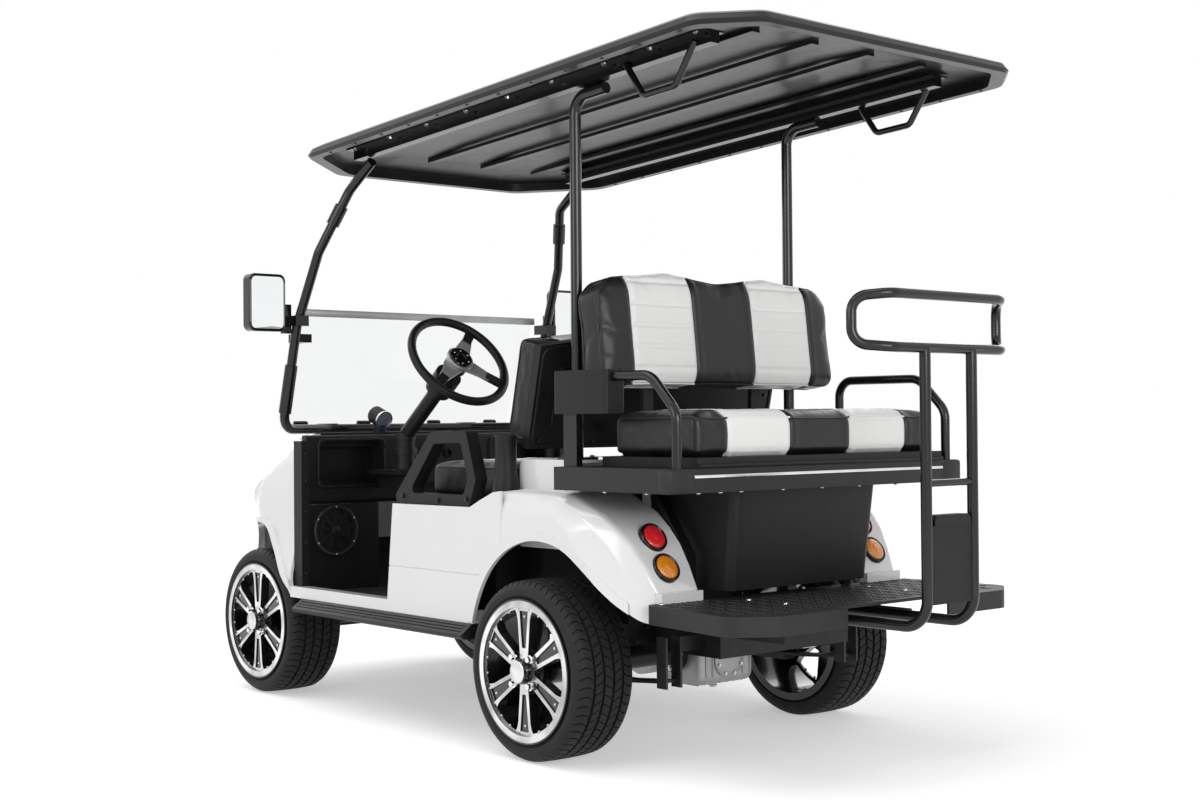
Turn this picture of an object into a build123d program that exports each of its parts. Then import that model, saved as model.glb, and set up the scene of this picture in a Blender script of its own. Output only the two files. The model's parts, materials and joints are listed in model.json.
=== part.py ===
"""Four-seat electric golf cart with a rear-facing second seat, a footrest deck and a full roof.

Units are millimetres. X runs across the cart, with +X on the driver's side, Y runs along it, with the nose
towards -Y, and Z is up from the ground. While it is built, Y is measured from the midpoint between the
axles. Each saved piece is then moved so that the origin lies on the ground under the middle of the cart.
"""
from build123d import *
import math
import os

# ------------------------------------------------------------------ driving sizes
WHEELBASE = 1530.0
FRONT_AXLE_Y = -WHEELBASE / 2
REAR_AXLE_Y = WHEELBASE / 2
NOSE_Y = -1122.0
FIT = 0.3                      # clearance between pieces that seat on each other
RUNNING = 0.08                 # radial clearance of a shaft in its bore
PLATE = 8.0                    # moulded panel thickness

# wheels
TYRE_RADIUS = 243.0
TYRE_HALF_WIDTH = 97.0
TREAD_HALF_WIDTH = 76.0
RIM_BEAD_RADIUS = 177.7
RIM_FLANGE_RADIUS = 193.0
RIM_HALF_WIDTH = 99.0
RIM_FLANGE_WIDTH = 10.0
RIM_WALL = 6.0
FRONT_WHEEL_X = 464.0          # middle plane of the front wheels
REAR_WHEEL_X = 516.0           # middle plane of the rear wheels
SPOKES = 6
SPOKE_DEPTH = 30.0
HUB_RADIUS = 42.0
HUB_FACE_RADIUS = 64.0
SPINDLE_RADIUS = 15.0
LUGS = 4
LUG_CIRCLE_RADIUS = 50.8

# running gear
AXLE_Z = TYRE_RADIUS
RAIL_X = 232.0
RAIL_WIDTH = 40.0
RAIL_Z = (280.0, 340.0)
KINGPIN_X = 385.0
KINGPIN_RADIUS = 10.0
STEER_ARM = 100.0
ARM_Z = (223.0, 235.0)
ARM_BOSS_RADIUS = 14.0
SPRING_WIDTH = 45.0
REAR_SPRING_X = 350.0
DRIVE_X = (-162.0, 57.0)       # width of the gear housing

# floor and body
FLOOR_Z = 356.0
SIDE_X = 572.0                 # outside of the sill and the door-side panel
SILL_IN_X = SIDE_X - 40.0      # inside of the sill and the step
SEAT_BASE_HALF = SIDE_X - 72.0 - FIT
HUMP_HALF = SIDE_X - 94.0
SEAT_HALF = SEAT_BASE_HALF - 29.7
BODY_FLOOR_Z = 342.0
SEAT_BASE_TOP = 688.0
HUMP_TOP = 804.0
DASH_TOP = 878.0

# rear seat kit
KIT_Z = (728.0, 789.0)
KIT_REAR_Y = 1303.0
KIT_HALF_WIDTH = SIDE_X
KIT_OPENING_HALF = KIT_HALF_WIDTH - 80.0
REAR_CUSHION_HALF = KIT_HALF_WIDTH - 92.0
DECK_TOP = 441.0
DECK_BOTTOM = 392.0

# roof
ROOF_HALF_WIDTH = 612.0
ROOF_FRONT_Y = -535.0
ROOF_REAR_Y = 1555.0
ROOF_TILT = 3.2                # degrees, rising towards the rear
ROOF_FRONT_LIP_Z = 1738.0

# rear grab handle
HANDLE_Y = 1706.0
HANDLE_POST_X = 92.0
HANDLE_POST_RADIUS = 14.0
HANDLE_LOOP_RADIUS = 12.7

REAR_END_Y = HANDLE_Y + HANDLE_POST_RADIUS
MIDDLE_Y = (NOSE_Y + REAR_END_Y) / 2


# ------------------------------------------------------------------ shape helpers
def block(x, y, z):
    """Box between the (low, high) limits given for each axis."""
    size = [limits[1] - limits[0] for limits in (x, y, z)]
    centre = [(limits[0] + limits[1]) / 2 for limits in (x, y, z)]
    return Pos(*centre) * Box(*size)


def outline_face(points, radius=0.0):
    """Closed face through the points, with every corner rounded to the radius (or list of radii)."""
    if radius:
        return make_face(FilletPolyline(*points, radius=radius, close=True))
    return make_face(Polyline(*points, close=True))


def eased(points, steps=4):
    """Row of points with its bends drawn as smooth curves that pass through every point."""
    padded = [points[0], *points, points[-1]]
    row = []
    for before, start, end, after in zip(padded, padded[1:], padded[2:], padded[3:]):
        for step in range(steps):
            t = step / steps
            row.append(tuple(0.5 * (2 * b + (c - a) * t + (2 * a - 5 * b + 4 * c - d) * t ** 2
                                    + (3 * b - a - 3 * c + d) * t ** 3)
                             for a, b, c, d in zip(before, start, end, after)))
    return row + [points[-1]]


def side_prism(points, x, radius=0.0):
    """(y, z) outline carried across the cart between two x limits."""
    face = Plane.YZ.offset(x[0]) * outline_face(points, radius)
    return extrude(face, amount=x[1] - x[0])


def front_prism(points, y, radius=0.0):
    """(x, z) outline carried along the cart between two y limits."""
    face = Plane.XZ.offset(-y[1]) * outline_face(points, radius)
    return extrude(face, amount=y[1] - y[0])


def plan_prism(points, z, radius=0.0):
    """(x, y) outline raised between two heights."""
    face = Plane.XY.offset(z[0]) * outline_face(points, radius)
    return extrude(face, amount=z[1] - z[0])


def rod(points, radius, bend=0.0):
    """Round bar along straight runs joined by tangent bends."""
    path = FilletPolyline(*points, radius=bend) if len(points) > 2 else Line(*points)
    return sweep(Plane(path @ 0, z_dir=path % 0) * Circle(radius), path=path)


def across(shape):
    """The same shape on the other side of the cart."""
    return mirror(shape, about=Plane.YZ)


def both_sides(shape):
    """The shape and its copy on the other side."""
    return shape + across(shape)


def disc(x, radius, y, z):
    """Cylinder along X between two x limits."""
    length = x[1] - x[0]
    return Pos((x[0] + x[1]) / 2, y, z) * Rot(0, 90, 0) * Cylinder(radius, length)


def post(x, y, z, radius):
    """Upright cylinder between two heights."""
    return Pos(x, y, (z[0] + z[1]) / 2) * Cylinder(radius, z[1] - z[0])


def stub(x, y, z, radius):
    """Cylinder along Y between two y limits."""
    return Pos(x, (y[0] + y[1]) / 2, z) * Rot(90, 0, 0) * Cylinder(radius, y[1] - y[0])


# ------------------------------------------------------------------ wheels
def tyre():
    """Solid tyre section turned about X, bead to tread, around the wheel's middle plane."""
    bead = RIM_HALF_WIDTH - RIM_FLANGE_WIDTH - FIT
    half = [
        (bead, RIM_BEAD_RADIUS + FIT),
        (bead, RIM_FLANGE_RADIUS + 2.0),
        (TYRE_HALF_WIDTH, 213.0),
        (90.0, 233.0),
        (TREAD_HALF_WIDTH, TYRE_RADIUS),
    ]
    points = half + [(-x, r) for x, r in reversed(half)]
    return revolve(make_face(Polyline(*points, close=True)), axis=Axis.X)


def rim():
    """Alloy wheel: barrel with two flanges, six spokes, lug disc, bored hub and a raised centre cap."""
    inner = RIM_BEAD_RADIUS - RIM_WALL
    flange = RIM_HALF_WIDTH - RIM_FLANGE_WIDTH
    section = [
        (-RIM_HALF_WIDTH, inner),
        (-RIM_HALF_WIDTH, RIM_FLANGE_RADIUS),
        (-flange, RIM_FLANGE_RADIUS),
        (-flange, RIM_BEAD_RADIUS),
        (flange, RIM_BEAD_RADIUS),
        (flange, RIM_FLANGE_RADIUS),
        (RIM_HALF_WIDTH, RIM_FLANGE_RADIUS),
        (RIM_HALF_WIDTH, inner),
    ]
    shape = revolve(make_face(Polyline(*section, close=True)), axis=Axis.X)
    spoke_x = (RIM_HALF_WIDTH - 8.0 - SPOKE_DEPTH, RIM_HALF_WIDTH - 8.0)
    spoke = [(-17.0, 40.0), (17.0, 40.0), (26.0, 138.0), (31.0, 153.0), (44.0, inner + 0.5), (-44.0, inner + 0.5),
             (-31.0, 153.0), (-26.0, 138.0)]
    groove = [(-8.0, 62.0), (8.0, 62.0), (18.0, inner - 11.0), (-18.0, inner - 11.0)]
    blade = side_prism(spoke, spoke_x) - side_prism(groove, (spoke_x[1] - 4.0, spoke_x[1] + 1.0))
    for turn in range(SPOKES):
        shape += Rot(turn * 360.0 / SPOKES, 0, 0) * blade
    lip = disc((spoke_x[1] - 8.0, spoke_x[1]), inner + 1.0, 0, 0) - disc((0, 100), inner - 6.0, 0, 0)
    shape += lip
    shape += disc((-50.0, spoke_x[1]), HUB_RADIUS, 0, 0)
    shape += disc((spoke_x[0], spoke_x[0] + 16.0), HUB_FACE_RADIUS, 0, 0)
    shape += disc((spoke_x[1], RIM_HALF_WIDTH + 16.0), 30.0, 0, 0)
    for lug in range(LUGS):
        angle = math.radians(45.0 + lug * 360.0 / LUGS)
        at = (LUG_CIRCLE_RADIUS * math.cos(angle), LUG_CIRCLE_RADIUS * math.sin(angle))
        shape += disc((spoke_x[0], spoke_x[1] + 6.0), 10.0, *at)
    return shape - disc((-51.0, 30.0), SPINDLE_RADIUS + RUNNING, 0, 0)


def place_wheel(shape, side, front):
    """Put a wheel piece, built facing +X, on its axle end. side is 1 for the driver's side, else -1."""
    x = FRONT_WHEEL_X if front else REAR_WHEEL_X
    y = FRONT_AXLE_Y if front else REAR_AXLE_Y
    placed = Pos(x, y, AXLE_Z) * shape
    return placed if side > 0 else across(placed)


# ------------------------------------------------------------------ running gear
def rail_span():
    """Inner and outer side of the driver-side rail."""
    return (RAIL_X - RAIL_WIDTH / 2, RAIL_X + RAIL_WIDTH / 2)


def chassis_frame():
    """Two full-length rails with the arms that carry the deck."""
    rail = block(rail_span(), (-1040.0, 1150.0), RAIL_Z)
    arm = block(rail_span(), (1070.0, 1380.0), (RAIL_Z[1], DECK_BOTTOM))
    return both_sides(rail + arm)


def cross_members():
    """Cross members between the rails, the front one with the tow plate."""
    inner = rail_span()[0]
    shape = sum((block((-inner, inner), (y - 20.0, y + 20.0), RAIL_Z)
                 for y in (-1020.0, -400.0, 40.0, 490.0, 1130.0)), start=Part())
    tow_plate = block((-60.0, 60.0), (-1090.0, -1040.0), (300.0, 312.0))
    return shape + tow_plate - post(0, -1068.0, (299.0, 313.0), 8.0)


def outriggers():
    """Bearers from the rails out to the sills and the legs that carry the seat frame."""
    low, high = RAIL_Z[0] + 20.0, RAIL_Z[1]
    leg_y = (856.0, 888.0)
    shape = block((288.0, 316.0), leg_y, (low, KIT_Z[0])) + block((rail_span()[1], 316.0), leg_y, (low, high))
    for y in (-60.0, 430.0):
        shape += block((rail_span()[1], SILL_IN_X - FIT), (y, y + 40.0), (low, high))
    return both_sides(shape)


def leaf_spring(x, points, hangers):
    """Flat leaf through (y, z) points with a hanger block up to the rail at each end."""
    x_limits = (x - SPRING_WIDTH / 2, x + SPRING_WIDTH / 2)
    lower = [(y, z - 8.0) for y, z in points]
    shape = side_prism(points + list(reversed(lower)), x_limits)
    for y, z in hangers:
        shape += block(x_limits, (y - 16.0, y + 16.0), (z, RAIL_Z[0]))
    return shape


def front_springs():
    """Front leaf springs, above the axle beam and under the rails."""
    seat = 240.0
    points = [(-1090.0, 268.0), (-930.0, 254.0), (FRONT_AXLE_Y, seat + 8.0), (-600.0, 254.0), (-440.0, 268.0)]
    spring = leaf_spring(RAIL_X, points, [(-1020.0, 262.0), (-460.0, 262.0)])
    pad = block((RAIL_X - 22.5, RAIL_X + 22.5), (FRONT_AXLE_Y - 60, FRONT_AXLE_Y + 60), (seat, seat + 16.0))
    return both_sides(spring + pad)


def rear_springs():
    """Rear leaf springs, under the axle tube, hung from the rails by shackles."""
    x = REAR_SPRING_X
    top = AXLE_Z - 32.0 - FIT
    points = [(500.0, 250.0), (620.0, 222.0), (REAR_AXLE_Y - 35.0, top), (REAR_AXLE_Y + 35.0, top), (910.0, 213.0),
              (1058.0, 226.0)]
    x_limits = (x - SPRING_WIDTH / 2, x + SPRING_WIDTH / 2)
    spring = leaf_spring(x, points, [])
    spring += block(x_limits, (REAR_AXLE_Y - 70.0, REAR_AXLE_Y + 70.0), (top - 22.0, top - 6.0))
    for side in (x_limits[0] - 7.0, x_limits[1]):
        plate_x = (side, side + 7.0)
        spring += block(plate_x, (1040.0, 1076.0), (205.0, RAIL_Z[1]))
        spring += block(plate_x, (480.0, 520.0), (232.0, RAIL_Z[1]))
    for y in (1040.0, 480.0):
        spring += block((RAIL_X + RAIL_WIDTH / 2, x_limits[0] - 7.0), (y, y + 36.0), (300.0, RAIL_Z[1]))
    return both_sides(spring)


def rear_axle():
    """Axle tube with a bearing flange and a wheel spindle at each end, broken by the gear housing."""
    tube = disc((DRIVE_X[1], 400.0), 32.0, REAR_AXLE_Y, AXLE_Z)
    flange = disc((DRIVE_X[1], DRIVE_X[1] + 20.0), 56.0, REAR_AXLE_Y, AXLE_Z)
    plate = disc((400.0, 412.0), 60.0, REAR_AXLE_Y, AXLE_Z)
    spindle = disc((412.0, REAR_WHEEL_X + 25.0), SPINDLE_RADIUS, REAR_AXLE_Y, AXLE_Z)
    left = tube + flange + plate + spindle
    right_tube = disc((-400.0, DRIVE_X[0]), 32.0, REAR_AXLE_Y, AXLE_Z)
    return left + right_tube + across(plate + spindle)


def drive_unit():
    """Cast gear housing on the axle, with the motor across the cart in front of it."""
    housing = block(DRIVE_X, (690.0, 872.0), (152.0, 300.0))
    housing = fillet(housing.edges(), 26.0)
    drain = post(-60.0, 800.0, (138.0, 156.0), 9.0)
    return housing + drain + disc((-190.0, 60.0), 74.0, 616.0, 236.0) + block((-90, 30), (660, 700), (190, 282))


def front_axle():
    """Axle beam with a yoke and a kingpin at each end."""
    beam = block((0.0, 345.0), (FRONT_AXLE_Y - 20, FRONT_AXLE_Y + 20), (200.0, 240.0))
    yoke_x = (330.0, KINGPIN_X + 15.0)
    yoke_y = (FRONT_AXLE_Y - 18.0, FRONT_AXLE_Y + 18.0)
    yoke = block(yoke_x, yoke_y, (188.0, 202.0)) + block(yoke_x, yoke_y, (284.0, 298.0))
    yoke += block((330.0, 345.0), yoke_y, (188.0, 298.0))
    kingpin = post(KINGPIN_X, FRONT_AXLE_Y, (188.0, 298.0), KINGPIN_RADIUS)
    return both_sides(beam + yoke + kingpin)


def knuckle():
    """Driver-side steering knuckle: bored barrel, wheel spindle and steering arm."""
    z = (208.0, 278.0)
    shape = post(KINGPIN_X, FRONT_AXLE_Y, z, 19.0)
    shape += disc((KINGPIN_X, FRONT_WHEEL_X + 25.0), SPINDLE_RADIUS, FRONT_AXLE_Y, AXLE_Z)
    arm_end = FRONT_AXLE_Y + STEER_ARM
    shape += block((KINGPIN_X - 10, KINGPIN_X + 10), (FRONT_AXLE_Y, arm_end), ARM_Z)
    shape += post(KINGPIN_X, arm_end, ARM_Z, ARM_BOSS_RADIUS)
    return shape - post(KINGPIN_X, FRONT_AXLE_Y, (200.0, 290.0), KINGPIN_RADIUS + RUNNING)


def tie_rod():
    """Bar across the cart that keeps the two steering arms together."""
    end = KINGPIN_X - ARM_BOSS_RADIUS - 0.8
    return disc((-end, end), 8.0, FRONT_AXLE_Y + STEER_ARM, sum(ARM_Z) / 2)


# ------------------------------------------------------------------ floor and body
TOE_HALF = 255.0
PANEL_FRONT_Y = 50.0
WALL_Y = -488.0                # front face of the footwell wall behind each front wheel


def floor_pan():
    """Flat floor between the sills and a toe board that climbs between the front wheels."""
    low = RAIL_Z[1]
    edge = SILL_IN_X - FIT
    flat = block((-edge, edge), (-470.0, PANEL_FRONT_Y - FIT), (low, FLOOR_Z))
    flat += block((-SEAT_BASE_HALF, SEAT_BASE_HALF), (0.0, 100.0), (low, FLOOR_Z))
    toe = [(-470.0, FLOOR_Z), (-560.0, FLOOR_Z), (-740.0, 500.0), (-752.0, 500.0), (-566.0, low), (-470.0, low)]
    return flat + side_prism(toe, (-TOE_HALF, TOE_HALF))


def kick_panels():
    """Footwell walls behind the front wheels, each with a round speaker on the cabin side."""
    back = WALL_Y + PLATE
    wall = block((TOE_HALF, SILL_IN_X - 4.0), (WALL_Y, back), (FLOOR_Z, 640.0))
    wall += block((TOE_HALF, TOE_HALF + PLATE), (-640.0, WALL_Y), (FLOOR_Z + 90.0, 640.0))
    speaker_x, speaker_z = SILL_IN_X - 104.0, 554.0
    ring = stub(speaker_x, (back, back + 14.0), speaker_z, 84.0)
    ring -= stub(speaker_x, (back + 6.0, back + 15.0), speaker_z, 70.0)
    petals = stub(speaker_x, (back, back + 12.0), speaker_z, 16.0)
    for turn in range(9):
        blade = Pos(0, 0, 42.0) * Box(13.0, 12.0, 60.0)
        petals += Pos(speaker_x, back + 6.0, speaker_z) * Rot(0, turn * 40.0, 0) * blade
    return both_sides(wall + ring + petals)


HOOD_ROWS = [
    # height, half width, y of the side corner, nose half width, y of the nose
    (350.0, 556.0, -762.0, 330.0, -1078.0),
    (480.0, 558.0, -762.0, 335.0, -1104.0),
    (620.0, 553.0, -762.0, 328.0, -1092.0),
    (700.0, 549.0, -756.0, 310.0, -1050.0),
    (764.0, 530.0, -715.0, 285.0, -982.0),
    (816.0, 504.0, -664.0, 265.0, -900.0),
    (872.0, 478.0, -572.0, 245.0, -770.0),
]
HOOD_REAR_Y = -520.0
ARCH_LIP = 11.0                # how far the lip round a front arch stands out
LIP_REACH = 24.0               # width of that lip


def hood_solid(inset, rows=HOOD_ROWS, rear=HOOD_REAR_Y):
    """Hood volume lofted through the rows, drawn in by the inset."""
    sections = []
    for height, half, corner, nose_half, nose in rows:
        half, nose_half = half - inset, nose_half - inset / 2
        corner, nose = corner + inset / 2, nose + inset
        points = [(half, rear), (half, corner), (nose_half, nose), (-nose_half, nose), (-half, corner), (-half, rear)]
        radii = [1.0, 90.0, 140.0, 140.0, 90.0, 1.0]
        sections.append(Plane.XY.offset(height) * outline_face(points, radii))
    return loft(sections)


LAMP_X = 318.0
LAMP_Z = 648.0
LAMP_RADIUS = 66.0


def front_arch(x, grow=0.0):
    """Space cut for a front wheel between two x limits, grown by an amount for the lip round it."""
    bend = eased([(235.0, 366.0), (177.0, 435.0), (118.0, 504.0), (60.0, 570.0), (-60.0, 570.0), (-156.0, 504.0),
                  (-226.0, 435.0), (-278.0, 366.0)])
    points = [(FRONT_AXLE_Y + dy + math.copysign(grow, dy), max(340.0, z + grow * 0.6) if z > 340.0 else 340.0)
              for dy, z in [(235.0, 340.0), *bend, (-284.0, 340.0)]]
    return side_prism(points, x)


def front_cowl():
    """White nose: a hollow hood with open wheel arches, lamp holes and a flat rear edge at the door line."""
    inner_rows = [(height - 9.0, *rest) for height, *rest in HOOD_ROWS]
    inner_rows[0] = (HOOD_ROWS[0][0] - 1.0, *HOOD_ROWS[0][1:])
    hollow = hood_solid(PLATE, inner_rows, HOOD_REAR_Y + 5.0)
    shape = hood_solid(0.0) - hollow
    lip = hood_solid(-ARCH_LIP) & both_sides(front_arch((380.0, 700.0), LIP_REACH))
    shape += lip - hollow
    shape -= both_sides(front_arch((TOE_HALF + 10.0, 700.0)))
    for side in (-1, 1):
        shape -= stub(side * LAMP_X, (NOSE_Y, -980.0), LAMP_Z, LAMP_RADIUS + FIT)
    return shape - dash_opening(0.0, 846.0, 880.0)


def dash_opening(clearance, low, high):
    """Hole in the top of the cowl for the dash top, between two heights, drawn in by a clearance."""
    height, half, corner, nose_half, nose = HOOD_ROWS[-1]
    half, nose_half = half - 24.0 - clearance, nose_half - 12.0 - clearance
    rear = HOOD_REAR_Y + 2.0
    points = [(half, rear), (half, corner + 20.0), (nose_half, nose + 24.0), (-nose_half, nose + 24.0),
              (-half, corner + 20.0), (-half, rear)]
    front = block((-600.0, 600.0), (-690.0 + clearance, rear), (low, high))
    return plan_prism(points, (low, high)) & front


def headlamps():
    """Round headlamps let into the nose."""
    lamp = stub(LAMP_X, (-1092.0, -1034.0), LAMP_Z, LAMP_RADIUS)
    return both_sides(lamp)


def front_bumper():
    """Black bumper wrapped round the nose below the lamps."""
    height, half, corner, nose_half, nose = HOOD_ROWS[1]
    outer_rows = [(z, half + 12.0, corner, nose_half + 20.0, NOSE_Y) for z in (372.0, 462.0)]
    shape = hood_solid(0.0, outer_rows, -700.0) - hood_solid(-FIT)
    shape -= block((-700.0, 700.0), (-985.0, 0.0), (300.0, 600.0))
    shape -= both_sides(front_arch((TOE_HALF, 700.0), 3.0))
    return shape - (hood_solid(-ARCH_LIP - FIT) & both_sides(front_arch((380.0, 700.0), LIP_REACH + FIT)))


PANEL_OUTLINE = [(PANEL_FRONT_Y, BODY_FLOOR_Z), (86.0, 667.0), (476.0, 669.0), (517.0, 687.0), (586.0, 714.0),
                 (620.0, 718.0), (620.0, BODY_FLOOR_Z)]
ARCH_BEND = [(487.0, 340.0), (502.0, 388.0), (530.0, 446.0), (579.0, 508.0), (656.0, 562.0), (757.0, 588.0),
             (863.0, 572.0), (951.0, 513.0), (1033.0, 443.0), (1083.0, 410.0), (1120.0, 391.0), (1190.0, 386.0)]
ARCH_OUTLINE = [(487.0, 300.0), *eased(ARCH_BEND), (1190.0, 300.0)]
FENDER_ROWS = [
    # height, y of the rear face, how far the outer edge is drawn in
    (380.0, 1146.0, 0.0),
    (470.0, 1140.0, 0.0),
    (530.0, 1110.0, 0.0),
    (584.0, 1076.0, 0.0),
    (628.0, 1034.0, 1.0),
    (664.0, 988.0, 5.0),
    (694.0, 922.0, 14.0),
    (712.0, 884.0, 26.0),
    (724.0, 850.0, 44.0),
]
FENDER_FRONT_Y = 600.0
FENDER_IN_X = 325.0
FLARE_RISE = 4.0                # how far the lip round a rear arch stands out
FLARE_REACH = 24.0             # width of that lip
CREASE_Z = 480.0               # crease along the door-side panel
FENDER_WAIST_Y = 850.0         # behind this the fender reaches inwards behind the hump


def grown(points, amount):
    """The outline drawn in (negative amount) or out."""
    return offset(outline_face(points), amount=amount, kind=Kind.INTERSECTION)


def hollow_side(points, x):
    """Panel shell: the outline between two x limits, open towards the middle of the cart."""
    outer = extrude(Plane.YZ.offset(x[0]) * outline_face(points), amount=x[1] - x[0])
    inner = extrude(Plane.YZ.offset(x[0] - 1.0) * grown(points, -PLATE), amount=x[1] - x[0] + 1.0 - PLATE)
    return outer - inner


def fender_edge(y):
    """Outer edge of the rear fender in plan, which tapers in towards the rear."""
    share = max(0.0, (y - FENDER_WAIST_Y) / 270.0)
    return SIDE_X - 72.0 * share ** 1.4


def fender_solid(inset, in_x):
    """Rear fender volume lofted through its rows, drawn in by the inset."""
    sections = []
    for height, rear, crown in FENDER_ROWS:
        z = height - inset if height > 600.0 else height - inset / 4
        rear -= inset
        shoulder, corner = rear - 150.0, rear - 56.0
        draw = crown + inset
        points = [(in_x, FENDER_FRONT_Y - 1.0), (SIDE_X - draw, FENDER_FRONT_Y - 1.0),
                  (fender_edge(shoulder) - draw, shoulder), (fender_edge(corner) - draw - 7.0, corner),
                  (fender_edge(rear) - draw - 22.0, rear), (in_x, rear)]
        sections.append(Plane.XY.offset(z) * outline_face(points, [1.0, 1.0, 40.0, 60.0, 24.0, 1.0]))
    return loft(sections, ruled=True)


def fender():
    """Hollow rear fender with the hump's place left free."""
    shape = fender_solid(0.0, FENDER_IN_X) - fender_solid(PLATE, FENDER_IN_X - 1.0)
    shape -= block((300.0, HUMP_HALF + FIT), (560.0, FENDER_WAIST_Y), (300.0, 760.0))
    shape -= side_prism([(560.0, 711.0), (590.0, 714.5), (670.0, 723.0), (670.0, 760.0), (560.0, 760.0)],
                        (300.0, 600.0))
    ledge_y = (FENDER_ROWS[1][1] - 2.0, FENDER_ROWS[1][1] + 22.0)
    return shape + block((FENDER_IN_X, 470.0), ledge_y, (DECK_TOP + FIT, 468.0))


def arch_flare():
    """Raised lip round the rear wheel arch."""
    skin = fender_solid(-FLARE_RISE, FENDER_IN_X) - fender_solid(PLATE, FENDER_IN_X - 1.0)
    skin &= block((SIDE_X - 60.0, SIDE_X + 20.0), (FENDER_FRONT_Y, 1300.0), (300.0, 760.0))
    skin += block((SIDE_X - PLATE, SIDE_X + FLARE_RISE), (440.0, FENDER_FRONT_Y + 1.0), (BODY_FLOOR_Z + 4.0, 700.0))
    return skin & extrude(Plane.YZ.offset(SIDE_X - 60.0) * grown(ARCH_OUTLINE, FLARE_REACH), 80.0)


def body_side():
    """Driver-side panel: sill, door-side panel and rear fender with its arch."""
    panel = hollow_side(PANEL_OUTLINE, (SEAT_BASE_HALF + FIT, SIDE_X))
    panel -= block((400.0, SIDE_X - PLATE), (600.0, 640.0), (300.0, 730.0))
    crease = Pos(SIDE_X, (PANEL_FRONT_Y + 550.0) / 2, CREASE_Z) * Rot(0, 45, 0) * Box(4.0, 560.0 - PANEL_FRONT_Y, 4.0)
    shape = (panel - crease) + fender() + arch_flare()
    shape -= side_prism(ARCH_OUTLINE, (300.0, 640.0))
    shape -= deck_solid(FIT)
    return shape + block((SILL_IN_X, SIDE_X), (-519.0, 486.0), (BODY_FLOOR_Z, 378.0))


LAMP_TURN = 58.0               # degrees that the tail lamps face down from straight up
TAIL_RADIUS = 41.0
TAIL_LAMPS = [
    # name of the lens, x, y, z of the middle of its face
    ("red", 410.0, 1064.0, 603.0),
    ("amber", 410.0, 1112.0, 527.0),
]


def tail_cylinder(row, radius, behind, ahead):
    """Cylinder about a tail lamp's axis, from a depth behind its face to a height ahead of it."""
    name, x, y, z = row
    middle = (ahead - behind) / 2
    return Pos(x, y, z) * Rot(-LAMP_TURN, 0, 0) * Pos(0, 0, middle) * Cylinder(radius, ahead + behind)


def tail_lamp_pair(row):
    """One lens in its bezel on each rear fender."""
    bezel = tail_cylinder(row, TAIL_RADIUS, 26.0, 8.0)
    lens = tail_cylinder(row, TAIL_RADIUS - 6.0, 2.0, 13.0)
    return both_sides(bezel + lens)


def tail_lamp_holes():
    """Holes for the tail lamps in the driver-side fender."""
    return sum((tail_cylinder(row, TAIL_RADIUS + FIT, 60.0, 40.0) for row in TAIL_LAMPS), start=Part())


def side_step():
    """Ribbed step along the driver-side sill, with three lengthwise grooves."""
    top = BODY_FLOOR_Z - FIT
    edge = SIDE_X + 40.0
    points = [(SILL_IN_X, 300.0), (edge - 10.0, 300.0), (edge, 306.0), (edge, 314.0), (SIDE_X + 4.0, top),
              (SILL_IN_X, top)]
    shape = front_prism(points, (-440.0, 488.0))
    slope = math.degrees(math.atan2(BODY_FLOOR_Z - 315.0, 36.0))
    for share in (0.25, 0.5, 0.75):
        x, z = edge - share * 36.0, 314.0 + share * (BODY_FLOOR_Z - 315.0)
        shape -= Pos(x, 24.0, z) * Rot(0, slope, 0) * Box(5.0, 900.0, 4.0)
    return shape


def seat_base():
    """Open-topped box under the front seat, which holds the batteries."""
    lid_z = SEAT_BASE_TOP - 12.0
    half = SEAT_BASE_HALF
    outline = [(-half, 62.0), (half, 62.0), (half, 505.0), (400.0, 505.0), (400.0, 586.0), (-400.0, 586.0),
               (-400.0, 505.0), (-half, 505.0)]
    shape = plan_prism(outline, (FLOOR_Z, lid_z))
    shape -= extrude(Plane.XY.offset(FLOOR_Z - 1.0) * grown(outline, -PLATE), amount=lid_z + 2.0 - FLOOR_Z)
    lid = block((-half, half), (62.0, 586.0), (lid_z, SEAT_BASE_TOP))
    inner = half - 44.7
    return shape + (lid - block((-inner, inner), (134.0, 486.0), (lid_z - 1.0, SEAT_BASE_TOP + 1.0)))


def battery_pack():
    """Battery block on the floor of the seat base."""
    return block((-320.0, 320.0), (110.0, 470.0), (RAIL_Z[1], 590.0))


def rear_hump():
    """White cover behind the front seat, between the fenders."""
    outer = block((-HUMP_HALF, HUMP_HALF), (586.0 + FIT, FENDER_WAIST_Y - FIT), (560.0, HUMP_TOP))
    outer = fillet(outer.edges().filter_by(Axis.X).group_by(Axis.Z)[-1].sort_by(Axis.Y)[0:1], 24.0)
    inner = block((PLATE - HUMP_HALF, HUMP_HALF - PLATE), (586.0 + PLATE, 860.0), (550.0, HUMP_TOP - PLATE))
    return outer - inner


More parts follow.
